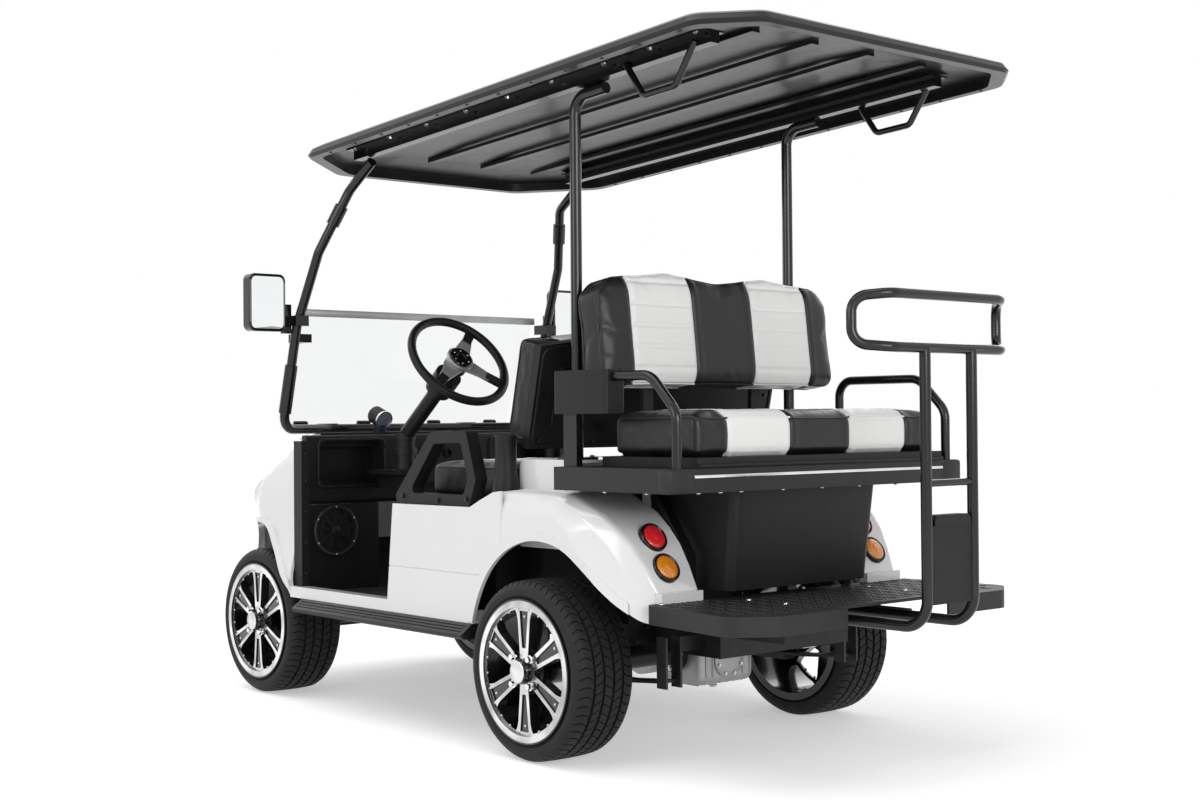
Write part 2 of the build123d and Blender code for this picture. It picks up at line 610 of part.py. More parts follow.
def dashboard():
    """Dash with an open cubby at each side, a centre panel, a boot shelf and a gauge pod."""
    edge = SILL_IN_X - 8.0
    face = block((-edge, edge), (HOOD_REAR_Y + FIT, -492.0), (640.0, 868.0))
    shape = fillet(face.edges().filter_by(Axis.X).group_by(Axis.Y)[-1], 16.0)
    shape += block((-480.0, 480.0), (-590.0, -500.0), (640.0, 836.0))
    shape += dash_opening(FIT, 830.0, 876.0)
    shape -= block((-150.0, 150.0), (-560.0, -480.0), (620.0, 700.0))
    mouth = fillet(block((228.0, 474.0), (-540.0, -480.0), (703.0, 846.0)).edges().filter_by(Axis.Y), 26.0)
    cubby = fillet(block((234.0, 470.0), (-582.0, -480.0), (709.0, 828.0)).edges().filter_by(Axis.Y), 22.0)
    shape -= both_sides(mouth + cubby)
    shape += block((196.0, 284.0), (-494.0, -300.0), (736.0, 752.0))
    shape += block((232.0, 248.0), (-494.0, -320.0), (690.0, 738.0))
    shape += both_sides(block((edge + 4.0, edge + 32.0), (-519.0, -470.0), (380.0, 850.0)))
    shape += both_sides(block((edge - 4.0, edge + 6.0), (-519.0, -492.0), (640.0, 850.0)))
    pod_x, pod_y = 176.0, -590.0
    shape += post(pod_x, pod_y, (860.0, 900.0), 24.0)
    shape += Pos(pod_x, pod_y, 926.0) * Rot(70, 0, 0) * Cylinder(31.0, 56.0)
    return shape


# ------------------------------------------------------------------ steering column and wheel
COLUMN_X = 240.0
WHEEL_CENTRE_Y = -32.0
WHEEL_CENTRE_Z = 1102.0
COLUMN_ANGLE = 38.0            # degrees above level
STEERING_RADIUS = 165.0
STEERING_GRIP = 13.5
SHAFT_RADIUS = 9.0
SPOKE_TURNS = (38.0, 144.0, 230.0)


def along_column(distance):
    """Place at a distance down the column from the steering wheel's centre, turned to face up it."""
    angle = math.radians(COLUMN_ANGLE)
    y = WHEEL_CENTRE_Y - distance * math.cos(angle)
    z = WHEEL_CENTRE_Z - distance * math.sin(angle)
    return Pos(COLUMN_X, y, z) * Rot(-(90.0 - COLUMN_ANGLE), 0, 0)


def steering_column():
    """Column tube with a switch housing and a rubber boot down to the dash shelf."""
    tube = along_column(215.0) * Cylinder(25.0, 310.0)
    housing = along_column(108.0) * Cylinder(44.0, 76.0)
    shape = tube + housing
    for ring in range(5):
        shape += post(COLUMN_X, -338.0, (752.0 + ring * 24.0, 776.0 + ring * 24.0), 34.0 - 3.0 * (ring % 2))
    shaft = along_column(47.0) * Cylinder(SHAFT_RADIUS, 50.0)
    return shape + shaft


def steering_wheel():
    """Three-spoke steering wheel with a hub that turns on the column shaft."""
    ring = Torus(STEERING_RADIUS, STEERING_GRIP)
    hub = Pos(0, 0, -14.0) * Cylinder(38.0, 36.0) + Pos(0, 0, 8.0) * Cylinder(32.0, 12.0)
    shape = ring + hub
    for turn in SPOKE_TURNS:
        spoke = Pos(92.0, 0, -6.0) * Box(134.0, 30.0, 6.0)
        shape += Rot(0, 0, turn) * spoke
    shape -= Pos(0, 0, -24.0) * Cylinder(SHAFT_RADIUS + RUNNING, 18.0)
    return along_column(0.0) * shape


# ------------------------------------------------------------------ windscreen
STRUT_RADIUS = 16.0
STRUT_POINTS = [(0.0, -722.0, 888.0), (300.0, -722.0, 888.0), (532.0, -632.0, 888.0), (524.0, -548.0, 1230.0),
                (504.0, -443.0, 1464.0), (440.0, -352.0, 1664.0), (434.0, -228.0, 1742.5)]
GLASS_BOTTOM = (-742.0, 893.0)
GLASS_TOP = (-562.0, 1284.0)
GLASS_THICKNESS = 5.0
GLASS_HALF_WIDTH = 480.0


def glass_y(z):
    """Rear face of the windscreen at a height."""
    share = (z - GLASS_BOTTOM[1]) / (GLASS_TOP[1] - GLASS_BOTTOM[1])
    return GLASS_BOTTOM[0] + share * (GLASS_TOP[0] - GLASS_BOTTOM[0])


def glass_solid(grow=0.0):
    """Flat pane leaning back, grown all round by a clearance."""
    low, high = GLASS_BOTTOM[1] - grow, GLASS_TOP[1] + grow
    front = -GLASS_THICKNESS - grow
    points = [(glass_y(low) + grow, low), (glass_y(high) + grow, high), (glass_y(high) + front, high),
              (glass_y(low) + front, low)]
    return side_prism(points, (-GLASS_HALF_WIDTH - grow, GLASS_HALF_WIDTH + grow))


SLEEVES = [
    # strut run it sits on, start share, end share, radius
    (2, 0.16, 0.62, STRUT_RADIUS + 5.0),
    (4, 0.45, 0.75, STRUT_RADIUS + 6.0),
]


def strut_half(radius):
    """Driver-side half of the windscreen and roof strut bar."""
    return rod(STRUT_POINTS, radius, [50.0, 58.0, 60.0, 60.0, 50.0])


def windscreen_frame():
    """Roof struts bent from one bar, with drip sleeves, pane clips and a top rail."""
    half = strut_half(STRUT_RADIUS)
    for run, low, high, radius in SLEEVES:
        start = Vector(STRUT_POINTS[run])
        along = Vector(STRUT_POINTS[run + 1]) - start
        half += rod([tuple(start + along * low), tuple(start + along * high)], radius)
    clip_y = (glass_y(1190.0) - 12.0, -552.0)
    half += block((466.0, 516.0), clip_y, (1176.0, 1204.0))
    half += block((266.0, 326.0), (-756.0, -716.0), (880.0, 906.0))
    shape = both_sides(half)
    rail = Pos(0, glass_y(1278.0) - 3.0, 1276.0) * Box(2 * GLASS_HALF_WIDTH + 8.0, 16.0, 22.0)
    return (shape + rail) - glass_solid(FIT)


# ------------------------------------------------------------------ roof
def roof_outline(inset):
    """Rounded plan of the roof, drawn in by the inset; lengths are along the tilted roof."""
    half, front, rear = ROOF_HALF_WIDTH - inset, ROOF_FRONT_Y + inset, ROOF_REAR_Y - inset
    points = [(-half, front + 200.0), (-half + 232.0, front), (half - 232.0, front), (half, front + 200.0),
              (half, rear - 110.0), (half - 130.0, rear), (-half + 130.0, rear), (-half, rear - 110.0)]
    return outline_face(points, [70.0, 90.0, 90.0, 70.0, 60.0, 60.0, 60.0, 60.0])


def roof_level(sections):
    """Loft between (inset, height) sections of the roof plan, before it is tilted."""
    return loft([Plane.XY.offset(height) * roof_outline(inset) for inset, height in sections], ruled=True)


def tilt_roof(shape):
    """Lean the roof back about its front lip."""
    return Pos(0, ROOF_FRONT_Y, ROOF_FRONT_LIP_Z) * Rot(ROOF_TILT, 0, 0) * Pos(0, -ROOF_FRONT_Y, 0) * shape


ROOF_RIBS = (-330.0, -110.0, 110.0, 330.0)


def roof_shell():
    """Moulded roof: turned-down lip, shallow dome and stiffening ribs underneath."""
    outer = roof_level([(6.0, 0.0), (0.0, 10.0)]) + roof_level([(0.0, 10.0), (8.0, 26.0)])
    outer += roof_level([(8.0, 26.0), (34.0, 40.0)]) + roof_level([(34.0, 40.0), (160.0, 58.0)])
    outer += roof_level([(160.0, 58.0), (330.0, 66.0)])
    inner = roof_level([(34.0, -1.0), (34.0, 28.0)]) + roof_level([(34.0, 28.0), (155.0, 46.0)])
    inner += roof_level([(155.0, 46.0), (330.0, 54.0)])
    shape = outer - inner
    for x in ROOF_RIBS:
        shape += block((x - 14.0, x + 14.0), (ROOF_FRONT_Y + 175.0, ROOF_REAR_Y - 175.0), (36.0, 47.0))
    return tilt_roof(shape)


ROOF_RAIL_X = 440.0
ROOF_RAIL_Y = (-300.0, 1340.0)
RAIL_DROP = 2.0                # underside of the rails above the lip plane


def roof_z(y, rise=0.0):
    """Height of the tilted roof's lip plane at y, plus a rise."""
    return ROOF_FRONT_LIP_Z + (y - ROOF_FRONT_Y) * math.tan(math.radians(ROOF_TILT)) + rise


def roof_rails():
    """Side rails under the roof with end brackets, and a passenger grab handle below each."""
    low, high = ROOF_RAIL_Y
    points = [(low, roof_z(low, RAIL_DROP)), (high, roof_z(high, RAIL_DROP)), (high, roof_z(high, 35.0)),
              (low, roof_z(low, 35.0))]
    rail = side_prism(points, (ROOF_RAIL_X - 16.0, ROOF_RAIL_X + 16.0))
    top = [(low, roof_z(low, 30.0)), (high, roof_z(high, 30.0)), (high, roof_z(high, 35.0)),
           (low, roof_z(low, 35.0))]
    rail += side_prism(top, (ROOF_RAIL_X - 34.0, ROOF_RAIL_X + 44.0))
    return both_sides(rail)


def roof_handles():
    """Passenger grab handle below each roof rail."""
    handle_x = 461.0
    handle = [(handle_x, 1030.0, roof_z(1030.0, 16.0)), (handle_x, 1098.0, 1748.0), (handle_x, 1220.0, 1755.0),
              (handle_x, 1290.0, roof_z(1290.0, 16.0))]
    return both_sides(rod(handle, 9.0, 24.0)) - roof_rails()


REAR_STRUT_X = HUMP_HALF - 56.0
REAR_STRUT_Y = 774.0


def rear_struts():
    """Upright roof struts that stand on the hump and bend back under the roof rails."""
    under = RAIL_DROP - STRUT_RADIUS - FIT
    points = [(REAR_STRUT_X, REAR_STRUT_Y, HUMP_TOP), (REAR_STRUT_X, REAR_STRUT_Y, roof_z(REAR_STRUT_Y, under)),
              (REAR_STRUT_X, 905.0, roof_z(905.0, under))]
    shape = rod(points, STRUT_RADIUS, 52.0)
    foot = block((REAR_STRUT_X - 40, REAR_STRUT_X + 40), (REAR_STRUT_Y - 40, REAR_STRUT_Y + 40),
                 (HUMP_TOP, HUMP_TOP + 6))
    return both_sides(shape + foot)


# ------------------------------------------------------------------ mirrors
def door_mirror():
    """Driver-side mirror head, arm and clamp round the strut."""
    head = block((566.0, 699.0), (-588.0, -550.0), (1209.0, 1397.0))
    head = fillet(head.edges().filter_by(Axis.Y), 22.0)
    arm = block((540.0, 567.0), (-580.0, -556.0), (1204.0, 1300.0))
    clamp = block((500.0, 548.0), (-582.0, -512.0), (1228.0, 1262.0))
    return head + arm + clamp - strut_half(STRUT_RADIUS + FIT)


# ------------------------------------------------------------------ front seat
REAR_BACKREST_LEAN = 7.0
REAR_BACKREST_FOOT = (936.0, 993.0)
REAR_BACKREST_DEPTH = 100.0
FRONT_CUSHION_Y = (118.0, 500.0)
FRONT_CUSHION_Z = (SEAT_BASE_TOP + FIT, 790.0)
CUSHION_HINGE = (114.5, SEAT_BASE_TOP + 5.0)   # y and z of the hinge barrel
BACKREST_LEAN = 13.0
BACKREST_FOOT = (489.0, 857.0)


def front_cushion():
    """Front bench cushion, hinged at its front edge over the battery box."""
    shape = block((-SEAT_HALF, SEAT_HALF), FRONT_CUSHION_Y, FRONT_CUSHION_Z)
    shape = fillet(shape.edges().filter_by(Axis.X).group_by(Axis.Z)[-1], 26.0)
    return shape + disc((40.0 - SEAT_HALF, SEAT_HALF - 40.0), 4.5, *CUSHION_HINGE)


def leaned(shape):
    """Lean a front backrest piece, built upright from its foot, back from the bench."""
    return Pos(0, *BACKREST_FOOT) * Rot(-BACKREST_LEAN, 0, 0) * shape


def front_backrest():
    """Front backrest pad with two low humps at the top."""
    points = [(-470.0, 20.0), (-470.0, 300.0), (-240.0, 335.0), (0.0, 312.0), (240.0, 335.0), (470.0, 300.0),
              (470.0, 20.0), (440.0, 0.0), (-440.0, 0.0)]
    pad = front_prism(points, (0.0, 100.0))
    return leaned(fillet(pad.edges().filter_by(Axis.Y), 12.0))


def front_backrest_shell():
    """Moulded shell on the back of the front backrest."""
    points = [(-474.0, 4.0), (-474.0, 296.0), (-240.0, 330.0), (0.0, 308.0), (240.0, 330.0), (474.0, 296.0),
              (474.0, 4.0)]
    return leaned(front_prism(points, (100.0 + FIT, 130.0)))


def rear_pad_front(z):
    """Y of the rear backrest's front face at a height."""
    lean = math.radians(REAR_BACKREST_LEAN)
    foot_y, foot_z = REAR_BACKREST_FOOT
    low_z = foot_z - REAR_BACKREST_DEPTH * math.sin(lean)
    return foot_y - REAR_BACKREST_DEPTH * math.cos(lean) - (z - low_z) * math.tan(lean)


def backrest_frame():
    """Steel uprights that carry both backrests, on the hump."""
    foot, top = rear_pad_front(993.0) - FIT, rear_pad_front(1240.0) - FIT
    outline = [(812.0, HUMP_TOP), (828.0, HUMP_TOP), (foot, 993.0), (top, 1240.0), (top - 15.0, 1240.0),
               (foot - 15.0, 993.0)]
    upright = side_prism(outline, (196.0, 232.0))
    link = block((196.0, 232.0), (700.0, 820.0), (1040.0, 1066.0))
    lower = block((196.0, 232.0), (634.0, 820.0), (880.0, 906.0))
    foot = block((180.0, 248.0), (760.0, 836.0), (HUMP_TOP, HUMP_TOP + 8.0))
    shape = both_sides(upright + link + lower + foot)
    return shape - leaned(block((-500.0, 500.0), (-50.0, 130.0 + FIT), (-100.0, 400.0)))


def hip_restraints():
    """Moulded arm guard at each end of the front bench."""
    outer = [(57.0, 669.5), (262.0, 880.0), (437.0, 886.0), (484.0, 745.0), (452.0, 669.5)]
    inner = [(150.0, 700.0), (280.0, 846.0), (412.0, 850.0), (446.0, 748.0), (424.0, 700.0)]
    shape = side_prism(outer, (SIDE_X - 58.0, SIDE_X - 16.0), 18.0)
    shape -= side_prism(inner, (SIDE_X - 62.0, SIDE_X - 12.0), 14.0)
    return both_sides(shape)


# ------------------------------------------------------------------ rear seat
REAR_CUSHION_Y = (968.0, 1300.0)
REAR_CUSHION_Z = (816.0, 932.0)


def rear_seat_frame():
    """Tubular rail round three sides of the rear seat, with a cross bar in front."""
    outline = [(-KIT_HALF_WIDTH, 852.0), (KIT_HALF_WIDTH, 852.0), (KIT_HALF_WIDTH, KIT_REAR_Y),
               (-KIT_HALF_WIDTH, KIT_REAR_Y)]
    half = KIT_OPENING_HALF
    opening = [(-half, 892.0), (half, 892.0), (half, 1262.0), (-half, 1262.0)]
    shape = plan_prism(outline, KIT_Z, [4.0, 4.0, 22.0, 22.0])
    shape -= plan_prism(opening, (KIT_Z[0] - 1.0, KIT_Z[1] + 1.0))
    return shape


def rear_seat_board():
    """Board under the rear cushion, hinged along its rear edge."""
    half = REAR_CUSHION_HALF
    shape = block((-half, half), (946.0, KIT_REAR_Y + 4.0), (KIT_Z[1] + FIT, 815.7))
    hinge = disc((-half, half), 5.0, KIT_REAR_Y + 7.0, KIT_Z[1] + 6.0)
    return shape + hinge


def rear_cushion():
    """Rear bench cushion."""
    shape = block((-REAR_CUSHION_HALF, REAR_CUSHION_HALF), REAR_CUSHION_Y, REAR_CUSHION_Z)
    return fillet(shape.edges().filter_by(Axis.X).group_by(Axis.Z)[-1], 30.0)


def rear_backrest():
    """Rear backrest pad with two humps at the top, leaning towards the front bench."""
    points = [(-470.0, 22.0), (-470.0, 270.0), (-420.0, 318.0), (-200.0, 346.0), (0.0, 322.0), (200.0, 346.0),
              (420.0, 318.0), (470.0, 270.0), (470.0, 22.0), (440.0, 0.0), (-440.0, 0.0)]
    pad = front_prism(points, (-REAR_BACKREST_DEPTH, 0.0))
    pad = fillet(pad.edges().filter_by(Axis.Y), 14.0)
    return Pos(0, *REAR_BACKREST_FOOT) * Rot(REAR_BACKREST_LEAN, 0, 0) * pad


def rear_armrests():
    """Armrest bars of the rear bench; the driver-side one ends in an upright plate under the arm box."""
    x = KIT_HALF_WIDTH - 43.0
    rear_leg = [(x, 1052.0, 1024.0), (x, 1190.0, 1024.0), (x, 1284.0, 930.0), (x, 1284.0, KIT_Z[1])]
    left = rod(rear_leg, 13.0, [70.0, 60.0])
    left += block((x - 10.0, x + 10.0), (856.0, 910.0), (KIT_Z[1], 928.0 - FIT))
    right_bar = [(x, 884.0, KIT_Z[1]), (x, 884.0, 1024.0), (x, 1190.0, 1024.0), (x, 1284.0, 930.0),
                 (x, 1284.0, KIT_Z[1])]
    return left + across(rod(right_bar, 13.0, [50.0, 70.0, 60.0]))


def arm_box():
    """Open-topped box on the driver-side armrest."""
    x = (KIT_HALF_WIDTH - 82.0, KIT_HALF_WIDTH - 12.0)
    outer = block(x, (838.0, 1052.0 - FIT), (928.0, 1042.0))
    outer = fillet(outer.edges().filter_by(Axis.Z), 12.0)
    return outer - block((x[0] + 7.0, x[1] - 7.0), (846.0, 1042.0), (940.0, 1043.0))


STORAGE_Z = (463.0, KIT_Z[0])
STORAGE_TOP = (280.0, 893.0, 1240.0)
STORAGE_FOOT = (272.0, 915.0, 1208.0)


def storage_taper(inset, low, high):
    """Tapered box volume between two heights, drawn in by the inset."""
    faces = []
    for height, (half, front, rear) in ((low, STORAGE_FOOT), (high, STORAGE_TOP)):
        half, front, rear = half - inset, front + inset, rear - inset
        points = [(-half, front), (half, front), (half, rear), (-half, rear)]
        faces.append(Plane.XY.offset(height) * outline_face(points, 26.0))
    return loft(faces, ruled=True)


def storage_box():
    """Tapered storage box under the rear seat, with a rim that fills the seat frame's opening."""
    low, high = STORAGE_Z
    rim_half = KIT_OPENING_HALF - FIT
    rim = block((-rim_half, rim_half), (892.0 + FIT, 1262.0 - FIT), (high, high + 5.0))
    shape = storage_taper(0.0, low, high) + rim
    mouth = block((-268.0, 268.0), (905.0, 1228.0), (high - 1.0, high + 6.0))
    return shape - storage_taper(6.0, low + 8.0, high + 1.0) - mouth


# ------------------------------------------------------------------ footrest deck and grab handle
DECK_OUTLINE = [(-502.0, 1136.0), (502.0, 1136.0), (546.0, 1470.0), (440.0, 1546.0), (-440.0, 1546.0),
                (-546.0, 1470.0)]
DECK_NOTCH_HALF = 200.0


DECK_CORNERS = [20.0, 20.0, 60.0, 60.0, 60.0, 60.0]


def deck_plan(amount):
    """Plan of the deck grown or drawn in by an amount."""
    face = outline_face(DECK_OUTLINE, DECK_CORNERS)
    return offset(face, amount=amount) if amount else face


def deck_solid(clearance=0.0):
    """Full volume of the deck, grown by a clearance."""
    height = DECK_TOP - DECK_BOTTOM + 2 * clearance
    return extrude(Plane.XY.offset(DECK_BOTTOM - clearance) * deck_plan(clearance), amount=height)


def footrest_deck():
    """Footrest tray with a turned-down skirt, cut back in the middle for the grab handle."""
    depth = DECK_TOP - DECK_BOTTOM - PLATE
    shape = deck_solid() - extrude(Plane.XY.offset(DECK_BOTTOM) * deck_plan(-PLATE), amount=depth)
    notch = block((-DECK_NOTCH_HALF, DECK_NOTCH_HALF), (1500.0, 1560.0), (DECK_BOTTOM - 1.0, DECK_TOP + 1.0))
    return shape - notch


def footrest_struts():
    """Cranked flat bars from under the seat frame down beside the storage box to the deck's front edge."""
    x = (292.0, 322.0)
    deck_front = DECK_OUTLINE[0][1]
    points = [(950.0, KIT_Z[0]), (972.0, KIT_Z[0]), (1099.0, 557.0), (1101.0, 548.0), (1101.0, 408.0),
              (deck_front, 408.0), (deck_front, 396.0), (1089.0, 396.0), (1089.0, 551.0)]
    return both_sides(side_prism(points, x))


def grab_handle():
    """Two posts bent out from under the deck, a rung and a padded-shoulder loop across the top."""
    low_z, bottom, top = 396.0, 1082.0, 1212.0
    post_points = [(HANDLE_POST_X, 1180.0, low_z), (HANDLE_POST_X, HANDLE_Y, low_z), (HANDLE_POST_X, HANDLE_Y, bottom)]
    half = rod(post_points, HANDLE_POST_RADIUS, 70.0)
    loop_points = [(0.0, HANDLE_Y, top), (218.0, HANDLE_Y, top), (286.0, 1640.0, top - 8.0),
                   (286.0, 1640.0, bottom + 8.0), (218.0, HANDLE_Y, bottom), (0.0, HANDLE_Y, bottom)]
    half += rod(loop_points, HANDLE_LOOP_RADIUS, [60.0, 42.0, 42.0, 60.0])
    half += disc((0.0, HANDLE_POST_X), 9.0, HANDLE_Y, 750.0)
    half += block((HANDLE_POST_X - 20.0, HANDLE_POST_X + 20.0), (1190.0, 1240.0), (low_z + 6.0, DECK_TOP - PLATE))
    return both_sides(half)


def handle_panel():
    """Flat cover between the handle posts with a rounded cap."""
    half = HANDLE_POST_X - HANDLE_POST_RADIUS - FIT
    shape = block((-half, half), (HANDLE_Y - 14.0, HANDLE_Y + 6.0), (452.0, 645.0))
    cap = block((-half + 6.0, half - 6.0), (HANDLE_Y - 18.0, HANDLE_Y + 10.0), (645.0, 672.0))
    return shape + fillet(cap.edges().filter_by(Axis.Y).group_by(Axis.Z)[-1], 20.0)


# ------------------------------------------------------------------ saving
def save(name, shape):
    """Move a piece into the cart's frame and write it."""
    export_step(Pos(0, -MIDDLE_Y, 0) * shape, f"parts/{name}.step")


def main():
    """Build every piece and write one file for each."""
    os.makedirs("parts", exist_ok=True)
    save("chassis_frame", chassis_frame())
    save("cross_members", cross_members())
    save("outriggers", outriggers())
    save("front_springs", front_springs())
    save("rear_springs", rear_springs())
    save("rear_axle", rear_axle())
    save("drive_unit", drive_unit())
    save("front_axle", front_axle())
    save("knuckle_left", knuckle())
    save("knuckle_right", across(knuckle()))
    save("tie_rod", tie_rod())
    wheel_places = {"front_left": (1, True), "front_right": (-1, True), "rear_left": (1, False),
                    "rear_right": (-1, False)}
    for place, (side, front) in wheel_places.items():
        save(f"tyre_{place}", place_wheel(tyre(), side, front))
        save(f"rim_{place}", place_wheel(rim(), side, front))
    save("floor_pan", floor_pan())
    save("kick_panels", kick_panels())
    save("front_cowl", front_cowl())
    save("headlamps", headlamps())
    save("front_bumper", front_bumper())
    left_side = body_side() - tail_lamp_holes()
    save("body_side_left", left_side)
    save("body_side_right", across(left_side))
    for row in TAIL_LAMPS:
        save(f"tail_lamps_{row[0]}", tail_lamp_pair(row))
    save("side_step_left", side_step())
    save("side_step_right", across(side_step()))
    save("seat_base", seat_base())
    save("battery_pack", battery_pack())
    save("rear_hump", rear_hump())
    save("dashboard", dashboard())
    save("steering_column", steering_column())
    save("steering_wheel", steering_wheel())
    save("windscreen_frame", windscreen_frame())
    save("windscreen_pane", glass_solid())
    save("roof_shell", roof_shell())
    save("roof_rails", roof_rails())
    save("roof_handles", roof_handles())
    save("rear_struts", rear_struts())
    save("mirror_left", door_mirror())
    save("mirror_right", across(door_mirror()))
    save("front_cushion", front_cushion())
    save("front_backrest", front_backrest())
    save("front_backrest_shell", front_backrest_shell())
    save("backrest_frame", backrest_frame())
    save("hip_restraints", hip_restraints())
    save("rear_seat_frame", rear_seat_frame())
    save("rear_seat_board", rear_seat_board())
    save("rear_cushion", rear_cushion())
    save("rear_backrest", rear_backrest())
    save("rear_armrests", rear_armrests())
    save("arm_box", arm_box())
    save("storage_box", storage_box())
    save("footrest_deck", footrest_deck())
    save("footrest_struts", footrest_struts())
    save("grab_handle", grab_handle())
    save("handle_panel", handle_panel())


main()
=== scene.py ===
"""Dresses the golf cart's construction model: finishes, padded seats, tread, lamps and small hardware.

Blender works in metres. Places are written in the millimetres of the construction drawing: X towards the
driver's side, Y towards the rear from midway between the axles, Z up. `at` turns them into the model's frame.
"""
from __future__ import annotations

import json
import logging
import math
from contextlib import contextmanager
from dataclasses import dataclass, field
from enum import Enum
from typing import Callable, Iterable, Iterator, Sequence

import bmesh
import bpy
from mathutils import Matrix, Vector
from mathutils.bvhtree import BVHTree

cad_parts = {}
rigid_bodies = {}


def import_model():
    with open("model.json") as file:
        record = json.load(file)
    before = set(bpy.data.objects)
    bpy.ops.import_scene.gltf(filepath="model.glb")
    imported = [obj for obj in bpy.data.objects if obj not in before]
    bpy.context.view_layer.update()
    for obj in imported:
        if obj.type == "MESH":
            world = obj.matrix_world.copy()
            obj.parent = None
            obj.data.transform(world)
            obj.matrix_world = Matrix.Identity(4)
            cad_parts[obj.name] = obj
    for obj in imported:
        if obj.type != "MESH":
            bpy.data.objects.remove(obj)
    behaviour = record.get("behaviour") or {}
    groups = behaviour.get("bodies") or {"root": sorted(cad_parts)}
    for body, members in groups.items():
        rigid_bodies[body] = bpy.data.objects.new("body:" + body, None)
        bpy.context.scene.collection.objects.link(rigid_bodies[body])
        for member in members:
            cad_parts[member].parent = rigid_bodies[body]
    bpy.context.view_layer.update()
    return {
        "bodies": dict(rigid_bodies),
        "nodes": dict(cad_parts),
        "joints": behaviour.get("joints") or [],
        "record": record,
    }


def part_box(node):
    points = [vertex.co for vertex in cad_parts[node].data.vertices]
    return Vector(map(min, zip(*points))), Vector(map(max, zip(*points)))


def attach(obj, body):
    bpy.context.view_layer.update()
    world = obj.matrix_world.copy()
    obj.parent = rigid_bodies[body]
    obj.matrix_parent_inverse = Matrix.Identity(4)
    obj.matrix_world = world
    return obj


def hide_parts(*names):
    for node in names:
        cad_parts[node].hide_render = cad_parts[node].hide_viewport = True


LOG = logging.getLogger("cart")
MIDDLE_Y = 299.0
SIDES = (1.0, -1.0)
SMOOTH_ANGLE = 38.0
SOFT_ANGLE = 60.0
NODE_ANGLE = 32.0
HEAD_ANGLE = 35.0
TYRE_ANGLE = 40.0
Pair = tuple[float, float]
Point = tuple[float, float, float]
Socket = bpy.types.NodeSocket
Value = bool | int | float | str | Point | Socket
UP, DOWN, REAR, OUT = (0.0, 0.0, 1.0), (0.0, 0.0, -1.0), (0.0, 1.0, 0.0), (1.0, 0.0, 0.0)


def at(x: float, y: float, z: float) -> Vector:
    """Turn a place on the drawing, in millimetres from between the axles, into the model's frame in metres."""
    return Vector((x / 1000.0, (y - MIDDLE_Y) / 1000.0, z / 1000.0))


# ---------------------------------------------------------------------------- finishes
class Grain(Enum):
    """Kind of fine relief on a surface."""

    SMOOTH = "smooth"
    PEBBLE = "pebble"
    LEATHER = "leather"
    BRUSHED = "brushed"
    CAST = "cast"
    DIMPLED = "dimpled"


@dataclass(frozen=True)
class Finish:
    """What a surface is made of: colour, gloss and the relief that can be felt on it."""

    name: str
    color: tuple[float, float, float]
    roughness: float
    metallic: float = 0.0
    coat: float = 0.0
    transmission: float = 0.0
    ior: float = 1.5
    grain: Grain = Grain.SMOOTH
    scale: float = 400.0
    depth: float = 0.0
    tint: float = 0.06
    patch: float = 5.0
    spread: float = 0.05
    edge: float = 0.0
    specular: float = 0.5
    stripe: tuple[float, float, float] | None = None
    band: Pair = (0.0, 0.0)


BODY_WHITE = Finish("body_white", (0.79, 0.79, 0.785), 0.16, coat=0.6, tint=0.012, spread=0.03, edge=0.0012,
                    scale=60.0, depth=0.00002)
ROOF_BLACK = Finish("roof_black", (0.007, 0.007, 0.008), 0.34, coat=0.08, grain=Grain.PEBBLE, scale=520.0,
                    depth=0.00006, edge=0.002, specular=0.28, tint=0.15)
PLASTIC = Finish("moulded_black", (0.009, 0.009, 0.0095), 0.45, grain=Grain.PEBBLE, scale=900.0, depth=0.0001,
                 edge=0.0014, tint=0.15, spread=0.08, specular=0.24)
PLASTIC_GREY = Finish("moulded_grey", (0.019, 0.019, 0.020), 0.48, grain=Grain.PEBBLE, scale=700.0, depth=0.00012,
                      edge=0.0014, tint=0.12, spread=0.08, specular=0.28)
GLOSS_BLACK = Finish("gloss_black", (0.005, 0.005, 0.0055), 0.12, coat=0.25, tint=0.1, edge=0.0008, specular=0.35)
CHASSIS = Finish("chassis_paint", (0.009, 0.009, 0.010), 0.40, grain=Grain.CAST, scale=260.0, depth=0.00012,
                 tint=0.25, spread=0.1, edge=0.0015, specular=0.3)
TUBE = Finish("tube_paint", (0.005, 0.005, 0.0055), 0.22, coat=0.12, scale=200.0,
              depth=0.00003, tint=0.1, specular=0.38)
RUBBER = Finish("tyre_rubber", (0.011, 0.011, 0.0115), 0.62, grain=Grain.CAST, scale=800.0, depth=0.0001,
                tint=0.25, spread=0.1, specular=0.26)
MAT = Finish("floor_mat", (0.011, 0.011, 0.012), 0.6, grain=Grain.PEBBLE, scale=500.0, depth=0.00015, tint=0.2,
             specular=0.25)
ALLOY = Finish("machined_alloy", (0.70, 0.71, 0.72), 0.24, metallic=1.0, grain=Grain.BRUSHED, scale=500.0,
               depth=0.00003, tint=0.22, patch=16.0, spread=0.08)
SATIN = Finish("satin_silver", (0.42, 0.425, 0.43), 0.34, metallic=0.45, grain=Grain.BRUSHED, scale=600.0,
               depth=0.00004, tint=0.3, patch=14.0, spread=0.08, specular=0.7)
CHROME = Finish("chrome", (0.78, 0.79, 0.80), 0.07, metallic=1.0, tint=0.12, patch=40.0, spread=0.03)
ZINC = Finish("zinc_bolt", (0.55, 0.55, 0.56), 0.32, metallic=1.0, grain=Grain.CAST, scale=900.0, depth=0.00005,
              tint=0.15, spread=0.1)
DARK_BOLT = Finish("black_bolt", (0.03, 0.03, 0.032), 0.25, metallic=0.6, tint=0.2, spread=0.1)
